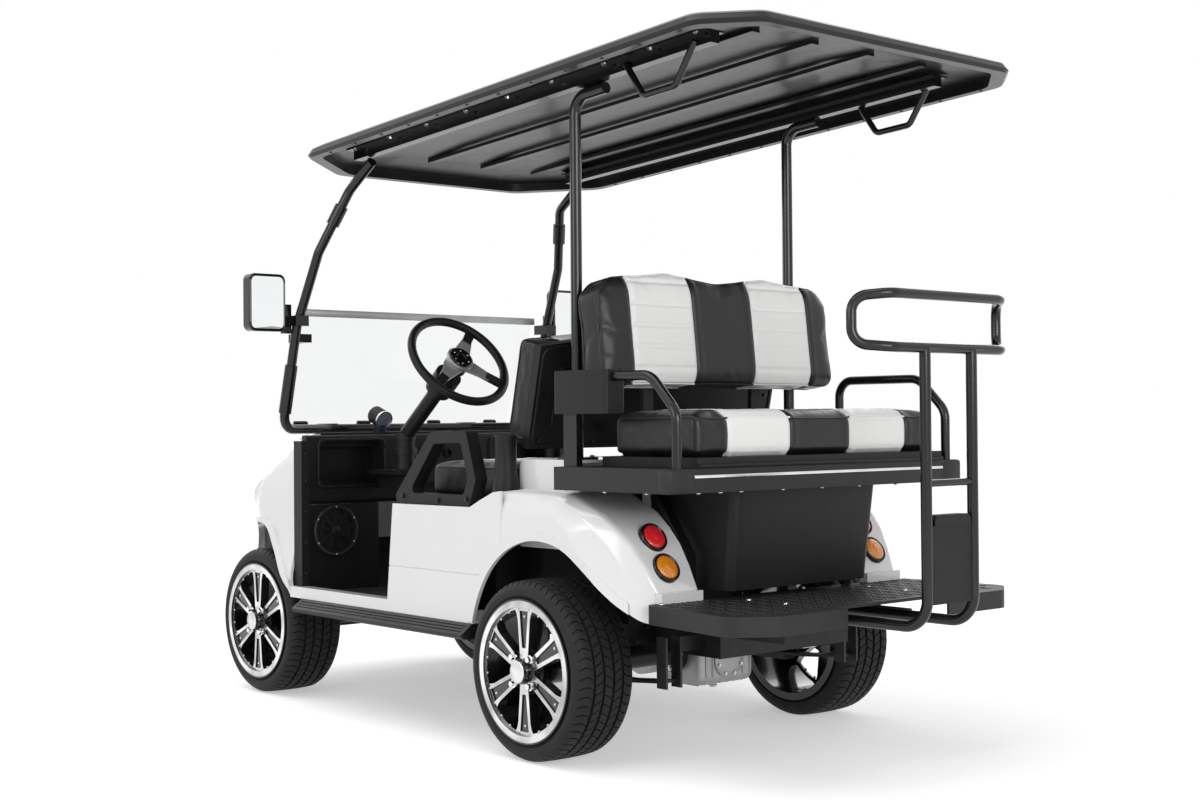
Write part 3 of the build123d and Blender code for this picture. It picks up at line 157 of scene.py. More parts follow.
CASTING = Finish("cast_alloy", (0.42, 0.42, 0.43), 0.48, metallic=0.75, grain=Grain.CAST, scale=330.0,
                 depth=0.0004, tint=0.2, patch=18.0, spread=0.12, edge=0.002)
STEEL = Finish("spring_steel", (0.035, 0.035, 0.038), 0.4, metallic=0.5, grain=Grain.CAST, scale=300.0,
               depth=0.0002, tint=0.25, spread=0.1, edge=0.001)
SCREEN = Finish("clear_pane", (0.915, 0.925, 0.925), 0.02, transmission=1.0, ior=1.18, tint=0.01, spread=0.01)
LAMP_CLEAR = Finish("lamp_glass", (0.62, 0.65, 0.67), 0.06, transmission=0.35, metallic=0.3, coat=0.6,
                    grain=Grain.DIMPLED, scale=180.0, depth=0.0008, tint=0.03, spread=0.02)
LENS_RED = Finish("lens_red", (0.80, 0.020, 0.030), 0.10, coat=0.8, grain=Grain.DIMPLED,
                  scale=260.0, depth=0.0016, tint=0.25, patch=90.0, spread=0.04)
LENS_AMBER = Finish("lens_amber", (0.90, 0.27, 0.015), 0.10, coat=0.8, grain=Grain.DIMPLED,
                    scale=260.0, depth=0.0016, tint=0.22, patch=90.0, spread=0.04)
MIRROR = Finish("mirror_glass", (0.88, 0.90, 0.91), 0.015, metallic=1.0, tint=0.02, spread=0.01)
BATTERY = Finish("battery_case", (0.02, 0.02, 0.022), 0.5, grain=Grain.PEBBLE, scale=500.0, depth=0.0002,
                 tint=0.2, specular=0.3)
DIAL = Finish("dial_face", (0.16, 0.20, 0.25), 0.3, coat=0.6, tint=0.4, patch=60.0)
MARK = Finish("dial_mark", (0.80, 0.80, 0.78), 0.4, tint=0.05)
# the two light bands of a seat lie between these distances from the middle plane, in metres
BAND = (0.1175, 0.349)
STRIPED = Finish("striped_vinyl", (0.010, 0.010, 0.011), 0.36, grain=Grain.LEATHER, scale=620.0, depth=0.0002,
                 tint=0.10, spread=0.08, specular=0.38, stripe=(0.88, 0.88, 0.87), band=BAND)


@dataclass(frozen=True)
class WheelFaces:
    """Where a wheel's turned faces lie along X, in metres, and which way they look; also their machined colour and the
    painted reflections on it.
    """

    name: str
    side: float
    spoke_face: float
    axle: Pair
    bright_radius: float = 0.1885
    face_play: float = 0.0012
    facing: float = 0.8
    # the turned faces wander in patches between these two colours: the machined metal, with painted dark reflections
    # and painted highlights on it
    painted_dark_reflection: Point = (0.40, 0.405, 0.41)
    bright: Point = (0.86, 0.865, 0.87)
    roughness: float = 0.17


class Forge:
    """Adds nodes to a tree and links their sockets."""

    def __init__(self, tree: bpy.types.NodeTree) -> None:
        self.tree = tree

    def add(self, kind: str, **settings: object) -> bpy.types.Node:
        """Add a node.

        Args:
            kind: The node's type name.
            settings: Its properties.

        Returns:
            The node.
        """
        node = self.tree.nodes.new(kind)
        for key, value in settings.items():
            setattr(node, key, value)
        return node

    def link(self, start: Socket, end: Socket) -> None:
        """Link an output socket to an input socket."""
        self.tree.links.new(start, end)

    def feed(self, socket: Socket, value: Value) -> None:
        """Give an input socket a number, a vector, a colour or another socket's value."""
        if isinstance(value, Socket):
            self.link(value, socket)
        else:
            socket.default_value = (*value, 1.0) if isinstance(socket, bpy.types.NodeSocketColor) else value

    def wire(self, kind: str, inputs: dict[str | int, Value], output: int = 0, **settings: object) -> Socket:
        """Add a node and give it its inputs.

        Args:
            kind: The node's type name.
            inputs: Value of each input, by name or place.
            output: Place of the output that is wanted.
            settings: The node's properties.

        Returns:
            The output socket.
        """
        node = self.add(kind, **settings)
        for key, value in inputs.items():
            self.feed(node.inputs[key], value)
        return node.outputs[output]


class ShaderForge(Forge):
    """Writes the node tree of a material or of the world."""

    @classmethod
    def blank(cls, owner: bpy.types.Material | bpy.types.World) -> "ShaderForge":
        """Start on the emptied tree of a material or world.

        Args:
            owner: The material or world.

        Returns:
            The forge.
        """
        owner.use_nodes = True
        owner.node_tree.nodes.clear()
        return cls(owner.node_tree)

    def math(self, operation: str, value: Value, other: Value = 0.0) -> Socket:
        """Result of an operation on one or two values."""
        return self.wire("ShaderNodeMath", {0: value, 1: other}, operation=operation)

    def noise(self, vector: Socket, scale: float, detail: float) -> Socket:
        """Value of a noise texture at a scale and with a detail."""
        return self.wire("ShaderNodeTexNoise", {"Vector": vector, "Scale": scale, "Detail": detail})

    def mixed(self, factor: Socket, low: Value, high: Value) -> Socket:
        """Mix of two colours, the first where the factor is 0."""
        return self.wire("ShaderNodeMix", {0: factor, 6: low, 7: high}, 2, data_type="RGBA")

    def ranged(self, value: Socket, start: Pair = (0.0, 1.0), end: Pair = (0.0, 1.0)) -> Socket:
        """Value mapped from one range to another."""
        return self.wire("ShaderNodeMapRange", dict(enumerate((value, *start, *end))))

    def apart(self, vector: Socket) -> Sequence[Socket]:
        """Split a vector.

        Args:
            vector: The vector's socket.

        Returns:
            The sockets of its three parts.
        """
        node = self.add("ShaderNodeSeparateXYZ")
        self.link(vector, node.inputs[0])
        return node.outputs


class Palette:
    """Builds each material once and hands it out by finish."""

    COAT_ROUGHNESS = 0.06
    BRUSH = (1.0, 0.06, 1.0)
    BUMP, SHALLOWEST, EDGE_SAMPLES = 0.6, 0.00001, 4

    def __init__(self) -> None:
        self._made: dict[str, bpy.types.Material] = {}

    def get(self, finish: Finish) -> bpy.types.Material:
        """Return the material of a finish, the same one on every call."""
        if finish.name not in self._made:
            self._made[finish.name] = self._build(finish)
        return self._made[finish.name]

    def wheel(self, faces: WheelFaces) -> bpy.types.Material:
        """Return the two-tone rim material: turned metal where the outer faces stand proud, black below; patches of
        painted dark reflections and painted highlights lie on the turned metal.

        Args:
            faces: The wheel's side and the place of its turned faces.

        Returns:
            The material for that rim.
        """
        material = self._build(Finish(faces.name, (0.010, 0.010, 0.011), 0.16, coat=0.4, tint=0.15, scale=300.0,
                                      depth=0.00003, edge=0.0008))
        forge = ShaderForge(material.node_tree)
        shader = next(n for n in forge.tree.nodes if n.type == "BSDF_PRINCIPLED")
        coords = next(n for n in forge.tree.nodes if n.type == "TEX_COORD")
        place, normal = forge.apart(coords.outputs["Object"]), forge.apart(coords.outputs["Normal"])
        facing = forge.math("GREATER_THAN", forge.math("MULTIPLY", normal[0], faces.side), faces.facing)
        proud = forge.math("GREATER_THAN", forge.math("MULTIPLY", place[0], faces.side),
                           faces.spoke_face - faces.face_play)
        reach = [forge.math("SUBTRACT", place[i + 1], faces.axle[i]) for i in range(2)]
        reach = [forge.math("POWER", forge.math("ABSOLUTE", r), 2.0) for r in reach]
        radius = forge.math("POWER", forge.math("ADD", *reach), 0.5)
        inside = forge.math("LESS_THAN", radius, faces.bright_radius)
        both = forge.math("MULTIPLY", forge.math("MULTIPLY", facing, proud), inside)
        # noise patches that paint dark reflections and highlights onto the turned faces
        painted_reflection_mask = forge.ranged(forge.noise(coords.outputs["Object"], 9.0, 2.0), (0.35, 0.65))
        dark, sheen = (shader.inputs[key].links[0].from_socket for key in ("Base Color", "Roughness"))
        # machined metal colour with the painted reflections mixed in
        turned = forge.mixed(painted_reflection_mask, faces.painted_dark_reflection, faces.bright)
        forge.link(forge.mixed(both, dark, turned), shader.inputs["Base Color"])
        forge.link(both, shader.inputs["Metallic"])
        forge.link(forge.wire("ShaderNodeMix", {0: both, 2: sheen, 3: faces.roughness}), shader.inputs["Roughness"])
        return material

    def _build(self, finish: Finish) -> bpy.types.Material:
        """Make the node material of a finish.

        Args:
            finish: What the surface is made of.

        Returns:
            The new material.
        """
        material = bpy.data.materials.new(finish.name)
        forge = ShaderForge.blank(material)
        out, shader = forge.add("ShaderNodeOutputMaterial"), forge.add("ShaderNodeBsdfPrincipled")
        forge.link(shader.outputs[0], out.inputs["Surface"])
        vector = forge.add("ShaderNodeTexCoord").outputs["Object"]
        low, high = (tuple(min(1.0, c * level) for c in finish.color)
                     for level in (1.0 - finish.tint, 1.0 + finish.tint))
        color = forge.mixed(forge.noise(vector, finish.patch, 5.0), low, high)
        if finish.stripe:
            color = self._striped(forge, vector, color, finish)
        sheen = forge.ranged(forge.noise(vector, finish.patch * 5.0, 3.0),
                             end=(max(0.0, finish.roughness - finish.spread),
                                  min(1.0, finish.roughness + finish.spread)))
        for key, value in (("Base Color", color), ("Roughness", sheen), ("Metallic", finish.metallic),
                           ("Coat Weight", finish.coat), ("Coat Roughness", self.COAT_ROUGHNESS),
                           ("Transmission Weight", finish.transmission), ("IOR", finish.ior),
                           ("Specular IOR Level", finish.specular)):
            forge.feed(shader.inputs[key], value)
        self._relief(forge, vector, shader, finish)
        return material

    @staticmethod
    def _striped(forge: ShaderForge, vector: Socket, dark: Socket, finish: Finish) -> Socket:
        """Mix in the stripe colour where the distance from the middle plane is inside a band.

        Args:
            forge: The material's forge.
            vector: Coordinates.
            dark: Socket of the ground colour.
            finish: Finish whose stripe and band are used.

        Returns:
            The mixed colour's socket.
        """
        across = forge.math("ABSOLUTE", forge.apart(vector)[0])
        low, high = finish.band
        mask = forge.math("MULTIPLY", forge.math("GREATER_THAN", across, low), forge.math("LESS_THAN", across, high))
        return forge.mixed(mask, dark, finish.stripe)

    def _relief(self, forge: ShaderForge, vector: Socket, shader: bpy.types.Node, finish: Finish) -> None:
        """Add the fine relief and the softened edges of a finish.

        Args:
            forge: The material's forge.
            vector: Coordinates.
            shader: The surface shader.
            finish: Finish whose grain is used.
        """
        if finish.depth <= 0.0 and finish.edge <= 0.0:
            return
        if finish.grain is Grain.BRUSHED:
            vector = forge.wire("ShaderNodeMapping", {"Vector": vector, "Scale": self.BRUSH})
        if finish.grain in (Grain.LEATHER, Grain.PEBBLE, Grain.DIMPLED):
            height = forge.wire("ShaderNodeTexVoronoi", {"Vector": vector, "Scale": finish.scale},
                                feature="F1" if finish.grain is Grain.LEATHER else "SMOOTH_F1")
        else:
            height = forge.noise(vector, finish.scale, 4.0)
        bump = {"Strength": self.BUMP, "Distance": max(finish.depth, self.SHALLOWEST), "Height": height}
        if finish.edge > 0.0:
            bump["Normal"] = forge.wire("ShaderNodeBevel", {"Radius": finish.edge}, samples=self.EDGE_SAMPLES)
        forge.link(forge.wire("ShaderNodeBump", bump), shader.inputs["Normal"])


# ---------------------------------------------------------------------------- mesh building
def place_object(name: str, data: bpy.types.ID) -> bpy.types.Object:
    """Make an object and link it to the scene.

    Args:
        name: The object's name.
        data: Its mesh, light or camera.

    Returns:
        The new object.
    """
    made = bpy.data.objects.new(name, data)
    bpy.context.scene.collection.objects.link(made)
    return made


@contextmanager
def edited(mesh: bpy.types.Mesh) -> Iterator[bmesh.types.BMesh]:
    """Open a mesh for editing and write the result back into it.

    Args:
        mesh: The mesh.

    Returns:
        The open mesh.
    """
    edit = bmesh.new()
    edit.from_mesh(mesh)
    yield edit
    edit.to_mesh(mesh)
    edit.free()


def face_outwards(mesh: bpy.types.Mesh) -> None:
    """Turn every face of a closed mesh outwards."""
    with edited(mesh) as edit:
        bmesh.ops.recalc_face_normals(edit, faces=edit.faces[:])


def turns(count: int) -> list[float]:
    """Even angles of a full turn, in radians."""
    return [2.0 * math.pi * step / count for step in range(count)]


def round_about(angle: float, radius: float, height: float) -> Vector:
    """Place at an angle, a radius and a height about the Z axis."""
    return Vector((radius * math.cos(angle), radius * math.sin(angle), height))


def ring_faces(count: int, segments: int, closed: bool) -> list[tuple[int, ...]]:
    """Faces between sections of equal size that lie one after the other.

    Args:
        count: How many sections.
        segments: Points in each section.
        closed: True where the last section meets the first.

    Returns:
        The faces.
    """
    faces: list[tuple[int, ...]] = []
    for index in range(count if closed else count - 1):
        low, high = index * segments, ((index + 1) % count) * segments
        for step in range(segments):
            ahead = (step + 1) % segments
            faces.append((low + step, low + ahead, high + ahead, high + step))
    return faces


class MeshBuilder:
    """Collects closed shapes into one mesh piece."""

    def __init__(self, name: str) -> None:
        self.name = name
        self._vertices: list[Vector] = []
        self._faces: list[tuple[int, ...]] = []
        self._slots: list[int] = []

    def add(self, vertices: Iterable[Vector], faces: Iterable[Sequence[int]], slot: int = 0,
            matrix: Matrix | None = None) -> None:
        """Add one closed shape.

        Args:
            vertices: Its points.
            faces: Its faces, as indices into the points.
            slot: Index of the material it takes.
            matrix: Place of the shape, or None where it is already in place.
        """
        base = len(self._vertices)
        for vertex in vertices:
            self._vertices.append(matrix @ Vector(vertex) if matrix else Vector(vertex))
        for face in faces:
            self._faces.append(tuple(base + i for i in face))
            self._slots.append(slot)

    def lathe(self, profile: Sequence[Pair], matrix: Matrix, segments: int = 48,
              slot: int = 0) -> None:
        """Add a shape turned about its local Z axis.

        Args:
            profile: (radius, height) points from the bottom of the axis to its top.
            matrix: Place of the shape.
            segments: Steps round the axis.
            slot: Index of the material it takes.
        """
        rings: list[list[int]] = []
        points: list[Vector] = []
        for radius, height in profile:
            if radius < 1e-7:
                rings.append([len(points)])
                points.append(Vector((0.0, 0.0, height)))
                continue
            rings.append(list(range(len(points), len(points) + segments)))
            points += [round_about(turn, radius, height) for turn in turns(segments)]
        faces: list[tuple[int, ...]] = []
        for low, high in zip(rings, rings[1:]):
            for step in range(segments):
                ahead = (step + 1) % segments
                if len(low) == 1 and len(high) == 1:
                    continue
                if len(low) == 1:
                    faces.append((low[0], high[ahead], high[step]))
                elif len(high) == 1:
                    faces.append((low[step], low[ahead], high[0]))
                else:
                    faces.append((low[step], low[ahead], high[ahead], high[step]))
        self.add(points, faces, slot, matrix)

    def tube(self, path: Sequence[Vector], radius: float, segments: int = 10, closed: bool = False,
             slot: int = 0) -> None:
        """Add a round bar along a path.

        Args:
            path: Points along its middle.
            radius: Its radius.
            segments: Steps round it.
            closed: True where the path's end meets its start.
            slot: Index of the material it takes.
        """
        count = len(path)
        points: list[Vector] = []
        normal = Vector((0.0, 0.0, 1.0))
        for index, point in enumerate(path):
            before = path[index - 1] if index or closed else point
            after = path[(index + 1) % count] if index < count - 1 or closed else point
            along = (after - before).normalized()
            side = along.cross(normal)
            if side.length < 1e-4:
                side = along.cross(Vector((1.0, 0.0, 0.0)))
            side.normalize()
            lift = side.cross(along).normalized()
            points += [point + side * (radius * math.cos(turn)) + lift * (radius * math.sin(turn))
                       for turn in turns(segments)]
        faces = ring_faces(count, segments, closed)
        if not closed:
            faces.append(tuple(range(segments))[::-1])
            faces.append(tuple((count - 1) * segments + s for s in range(segments)))
        self.add(points, faces, slot)

    def block(self, size: Point, matrix: Matrix, soft: float = 0.002, slot: int = 0) -> None:
        """Add a box whose edges are rounded off.

        Args:
            size: Its whole width, depth and height.
            matrix: Place of its middle.
            soft: Radius of its edges.
            slot: Index of the material it takes.
        """
        mesh = bmesh.new()
        bmesh.ops.create_cube(mesh, size=1.0, matrix=Matrix.Diagonal((*size, 1.0)))
        soft = min(soft, 0.45 * min(size))
        bmesh.ops.bevel(mesh, geom=mesh.edges[:], offset=soft, segments=2, affect="EDGES", profile=0.5)
        mesh.verts.ensure_lookup_table()
        self.add([v.co.copy() for v in mesh.verts], [[v.index for v in f.verts] for f in mesh.faces], slot, matrix)
        mesh.free()

    def build(self, materials: Sequence[bpy.types.Material], smooth: float = SMOOTH_ANGLE) -> bpy.types.Object:
        """Make the object.

        Args:
            materials: Materials in the order of the slots.
            smooth: Edges that turn by fewer degrees than this are shaded smooth.

        Returns:
            The new object, linked to the scene.
        """
        mesh = bpy.data.meshes.new(self.name)
        mesh.from_pydata([tuple(v) for v in self._vertices], [], self._faces)
        for material in materials:
            mesh.materials.append(material)
        for polygon, slot in zip(mesh.polygons, self._slots):
            polygon.material_index = slot
        face_outwards(mesh)
        mesh.update()
        return finish_object(self.name, mesh, smooth)


def finish_object(name: str, mesh: bpy.types.Mesh, smooth: float) -> bpy.types.Object:
    """Wrap a mesh in an object with smooth shading below an angle.

    Args:
        name: The object's name.
        mesh: Its mesh.
        smooth: Edges that turn by fewer degrees than this are shaded smooth.

    Returns:
        The new object, linked to the scene.
    """
    mesh.name = name
    mesh.shade_smooth()
    mesh.set_sharp_from_angle(angle=math.radians(smooth))
    return place_object(name, mesh)


def aim(place: Vector, direction: Vector, spin: float = 0.0) -> Matrix:
    """Matrix that puts a shape at a place, its local Z along a direction and turned about it by degrees."""
    turn = Vector(direction).to_track_quat("Z", "Y").to_matrix().to_4x4()
    return Matrix.Translation(place) @ turn @ Matrix.Rotation(math.radians(spin), 4, "Z")


# ---------------------------------------------------------------------------- geometry nodes
POINT_LAYERS = (("aim", "FLOAT_VECTOR"), ("size", "FLOAT_VECTOR"), ("spin", "FLOAT"))


class NodeForge(Forge):
    """Writes a small Geometry Nodes tree."""

    def __init__(self, name: str, inputs: Sequence[tuple[str, str, float | int]]) -> None:
        super().__init__(bpy.data.node_groups.new(name, "GeometryNodeTree"))
        face = self.tree.interface
        face.new_socket("Geometry", in_out="INPUT", socket_type="NodeSocketGeometry")
        self.keys: dict[str, str] = {}
        for label, kind, value in inputs:
            socket = face.new_socket(label, in_out="INPUT", socket_type=kind)
            socket.default_value = value
            self.keys[label] = socket.identifier
        face.new_socket("Geometry", in_out="OUTPUT", socket_type="NodeSocketGeometry")
        self.source = self.add("NodeGroupInput")
        self.sink = self.add("NodeGroupOutput")


class Repeats:
    """Geometry Nodes trees for what comes many times, each turned into one plain mesh."""

    def __init__(self) -> None:
        self._radial = self._radial_tree()
        self._soften = self._soften_tree()
        self._scatter: dict[str, NodeForge] = {}

    @staticmethod
    def _radial_tree() -> NodeForge:
        """Tree that sets a mesh a number of times round the X axis and joins the copies.

        Returns:
            The tree.
        """
        forge = NodeForge("radial_repeat", [("Count", "NodeSocketInt", 60), ("Join", "NodeSocketFloat", 0.00002)])
        given = forge.source.outputs
        line = forge.wire("GeometryNodeMeshLine", {"Count": given["Count"], "Offset": (0.0, 0.0, 0.0)})
        index = forge.add("GeometryNodeInputIndex").outputs[0]
        share = forge.wire("ShaderNodeMath", {0: index, 1: given["Count"]}, operation="DIVIDE")
        turn = forge.wire("ShaderNodeMath", {0: share, 1: 2.0 * math.pi}, operation="MULTIPLY")
        euler = forge.wire("ShaderNodeCombineXYZ", {0: turn})
        copies = forge.wire("GeometryNodeInstanceOnPoints",
                            {"Points": line, "Instance": given["Geometry"], "Rotation": euler})
        real = forge.wire("GeometryNodeRealizeInstances", {0: copies})
        merge = forge.wire("GeometryNodeMergeByDistance", {0: real, "Distance": given["Join"]})
        forge.link(merge, forge.sink.inputs[0])
        return forge

    @staticmethod
    def _soften_tree() -> NodeForge:
        """Tree that joins a construction mesh's loose triangles and shades it smooth below an angle.

        Returns:
            The tree.
        """
        forge = NodeForge("panel_shading", [("Angle", "NodeSocketFloat", math.radians(NODE_ANGLE)),
                                            ("Join", "NodeSocketFloat", 0.00003)])
        given = forge.source.outputs
        bare = forge.wire("GeometryNodeRemoveAttribute", {0: given["Geometry"], "Name": "custom_normal"})
        merge = forge.wire("GeometryNodeMergeByDistance", {0: bare, "Distance": given["Join"]})
        angle = forge.add("GeometryNodeInputMeshEdgeAngle").outputs[0]
        gentle = forge.wire("FunctionNodeCompare", {0: angle, 1: given["Angle"]}, data_type="FLOAT",
                            operation="LESS_THAN")
        edges = forge.wire("GeometryNodeSetShadeSmooth", {"Geometry": merge, "Shade Smooth": gentle}, domain="EDGE")
        faces = forge.wire("GeometryNodeSetShadeSmooth", {"Geometry": edges, "Shade Smooth": True}, domain="FACE")
        forge.link(faces, forge.sink.inputs[0])
        return forge

    def soften(self, node: bpy.types.Object, angle: float = NODE_ANGLE) -> None:
        """Give a construction node smooth shading below an angle, without touching its mesh.

        Args:
            node: The construction node.
            angle: Edges that turn by fewer degrees than this are shaded smooth.
        """
        modifier = node.modifiers.new("panel_shading", "NODES")
        modifier.node_group = self._soften.tree
        modifier[self._soften.keys["Angle"]] = math.radians(angle)

    def around(self, name: str, pitch: bpy.types.Object, count: int, place: Vector,
               materials: Sequence[bpy.types.Material], smooth: float = SMOOTH_ANGLE) -> bpy.types.Object:
        """Repeat one pitch round the X axis into a closed ring.

        Args:
            name: Name of the new piece.
            pitch: Object that holds one pitch, about the origin. It is removed.
            count: How many pitches go round.
            place: Where the ring's middle goes.
            materials: Materials of the new piece.
            smooth: Edges that turn by fewer degrees than this are shaded smooth.

        Returns:
            The new piece.
        """
        modifier = pitch.modifiers.new("ring", "NODES")
        modifier.node_group = self._radial.tree
        modifier[self._radial.keys["Count"]] = count
        mesh = plain_mesh(pitch)
        drop(pitch)
        mesh.transform(Matrix.Translation(place))
        mesh.materials.clear()
        for material in materials:
            mesh.materials.append(material)
        return finish_object(name, mesh, smooth)

    def scatter(self, name: str, head: "Head", stations: Sequence["Station"],
                material: bpy.types.Material) -> bpy.types.Object:
        """Set a fastener or a stud at every station.

        Args:
            name: Name of the new piece.
            head: Shape that is repeated.
            stations: Places, directions and sizes.
            material: Material of the copies.

        Returns:
            The new piece, one plain mesh.
        """
        mesh = bpy.data.meshes.new(name + "_points")
        mesh.from_pydata([tuple(s.place) for s in stations], [], [])
        layers = ([c for s in stations for c in s.direction], [c for s in stations for c in s.size],
                  [s.spin for s in stations])
        for (key, kind), values in zip(POINT_LAYERS, layers):
            layer = mesh.attributes.new(key, kind, "POINT")
            layer.data.foreach_set("vector" if kind == "FLOAT_VECTOR" else "value", values)
        points = place_object(name + "_points", mesh)
        if head.value not in self._scatter:
            self._scatter[head.value] = self._scatter_tree(head)
        forge = self._scatter[head.value]
        modifier = points.modifiers.new("scatter", "NODES")
        modifier.node_group = forge.tree
        modifier[forge.keys["Material"]] = material
        made = plain_mesh(points)
        drop(points)
        made.materials.clear()
        made.materials.append(material)
        return finish_object(name, made, HEAD_ANGLE)

    @staticmethod
    def _scatter_tree(head: "Head") -> NodeForge:
        """Tree that sets a head on every point, aimed, spun and sized by the point's attributes.

        Args:
            head: Shape that is repeated.

        Returns:
            The tree.
        """
        forge = NodeForge("scatter_" + head.value, [])
        socket = forge.tree.interface.new_socket("Material", in_out="INPUT", socket_type="NodeSocketMaterial")
        forge.keys["Material"] = socket.identifier
        join = forge.add("GeometryNodeJoinGeometry")
        for sides, radius, low, high, taper in HEAD_SHAPES[head]:
            cone = forge.wire("GeometryNodeMeshCone", {"Vertices": sides, "Radius Bottom": radius,
                                                       "Radius Top": radius * taper, "Depth": high - low})
            shift = forge.wire("GeometryNodeTransform", {0: cone, "Translation": (0.0, 0.0, low)})
            forge.link(shift, join.inputs[0])
        direction, size, spin = (forge.wire("GeometryNodeInputNamedAttribute", {"Name": key}, data_type=kind)
                                 for key, kind in POINT_LAYERS)
        turn = forge.wire("FunctionNodeAlignRotationToVector", {"Vector": direction}, axis="Z")
        twist = forge.wire("FunctionNodeAxisAngleToRotation", {"Axis": UP, "Angle": spin})
        both = forge.wire("FunctionNodeRotateRotation", {"Rotation": turn, "Rotate By": twist},
                          rotation_space="LOCAL")
        copies = forge.wire("GeometryNodeInstanceOnPoints",
                            {"Points": forge.source.outputs["Geometry"], "Instance": join.outputs[0],
                             "Rotation": both, "Scale": size})
        real = forge.wire("GeometryNodeRealizeInstances", {0: copies})
        paint = forge.wire("GeometryNodeSetMaterial",
                           {"Geometry": real, "Material": forge.source.outputs["Material"]})
        forge.link(paint, forge.sink.inputs[0])
        return forge


class Head(Enum):
    """Small shapes that come many times. Each is about 1 across, and its size scales it."""

    HEX = "hex"
    PAN = "pan"
    STUD = "stud"
    BAR = "bar"


HEAD_SHAPES: dict[Head, tuple[tuple[int, float, float, float, float], ...]] = {
    # sides, radius, bottom, top, width of the top as a share of the bottom
    Head.HEX: ((14, 0.62, -0.05, 0.10, 0.96), (6, 0.46, 0.08, 0.42, 0.94)),
    Head.PAN: ((14, 0.5, -0.05, 0.16, 0.9), (14, 0.45, 0.15, 0.30, 0.6)),
    Head.STUD: ((8, 0.5, -0.2, 0.3, 0.7),),
    Head.BAR: ((4, 0.7071, -0.3, 0.5, 0.72),),
}


@dataclass(frozen=True)
class Station:
    """Place of one repeated head: where it sits, where it points, how large it is and its turn in radians."""

    place: Vector
    direction: Vector
    size: Point
    spin: float = 0.0


def plain_mesh(source: bpy.types.Object) -> bpy.types.Mesh:
    """Mesh of an object with its modifiers applied.

    Args:
        source: The object.

    Returns:
        A new plain mesh.
    """
    bpy.context.view_layer.update()
    graph = bpy.context.evaluated_depsgraph_get()
    return bpy.data.meshes.new_from_object(source.evaluated_get(graph), depsgraph=graph)


def drop(spare: bpy.types.Object) -> None:
    """Remove a working object."""
    bpy.data.objects.remove(spare, do_unlink=True)


# ---------------------------------------------------------------------------- shared context
@dataclass
class Workshop:
    """What every sub-assembly needs: the loaded frame, the palette and the repeats."""

    nodes: dict[str, bpy.types.Object]
    palette: Palette = field(default_factory=Palette)
    repeats: Repeats = field(default_factory=Repeats)

    def mount(self, piece: bpy.types.Object, body: str, slot: str, replaces: Sequence[str] = ()) -> bpy.types.Object:
        """Hand a finished piece to the frame.

        Args:
            piece: The piece, in place.
            body: Body that it moves with.
            slot: Material slot of the record; not used.
            replaces: Construction nodes that it stands for.

        Returns:
            The piece.
        """
        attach(piece, body)
        if replaces:
            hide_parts(*replaces)
        return piece

    def mats(self, *finishes: Finish) -> list[bpy.types.Material]:
        """Materials of some finishes, in order."""
        return [self.palette.get(f) for f in finishes]

    def fit(self, builder: MeshBuilder, body: str, slot: str, *finishes: Finish, replaces: Sequence[str] = (),
            smooth: float = SMOOTH_ANGLE) -> bpy.types.Object:
        """Build a piece in its finishes and hand it to the frame, on a body."""
        return self.mount(builder.build(self.mats(*finishes), smooth), body, slot, replaces)

    def fasten(self, name: str, head: Head, stations: Sequence[Station], finish: Finish, body: str,
               slot: str) -> bpy.types.Object:
        """Set a head at every station and hand the piece to the frame, on a body."""
        return self.mount(self.repeats.scatter(name, head, stations, self.palette.get(finish)), body, slot)


class SubAssembly:
    """Part of the cart that is made with the workshop's frame, palette and repeats."""

    def __init__(self, shop: Workshop) -> None:
        self.shop = shop


# ---------------------------------------------------------------------------- construction nodes
NODE_FINISHES: dict[str, Finish] = {
    "chassis_frame": CHASSIS, "cross_members": CHASSIS, "outriggers": CHASSIS, "front_springs": STEEL,
    "rear_springs": STEEL, "rear_axle": CHASSIS, "drive_unit": CASTING, "front_axle": CHASSIS,
    "knuckle_left": CHASSIS, "knuckle_right": CHASSIS, "tie_rod": STEEL, "floor_pan": MAT, "kick_panels": PLASTIC,
    "front_cowl": BODY_WHITE, "headlamps": LAMP_CLEAR, "front_bumper": PLASTIC, "body_side_left": BODY_WHITE,
    "body_side_right": BODY_WHITE, "side_step_left": PLASTIC_GREY, "side_step_right": PLASTIC_GREY,
    "seat_base": PLASTIC, "battery_pack": BATTERY, "rear_hump": BODY_WHITE, "dashboard": PLASTIC,
    "steering_column": PLASTIC, "steering_wheel": PLASTIC, "windscreen_frame": TUBE, "windscreen_pane": SCREEN,
    "roof_shell": ROOF_BLACK, "roof_rails": TUBE, "roof_handles": TUBE, "rear_struts": TUBE,
    "mirror_left": GLOSS_BLACK, "mirror_right": GLOSS_BLACK, "front_backrest_shell": PLASTIC,
    "backrest_frame": CHASSIS, "hip_restraints": PLASTIC, "rear_seat_frame": PLASTIC_GREY,
    "rear_seat_board": PLASTIC, "rear_armrests": TUBE, "arm_box": PLASTIC, "storage_box": PLASTIC,
    "footrest_deck": PLASTIC_GREY, "footrest_struts": TUBE, "grab_handle": TUBE, "handle_panel": PLASTIC,
}


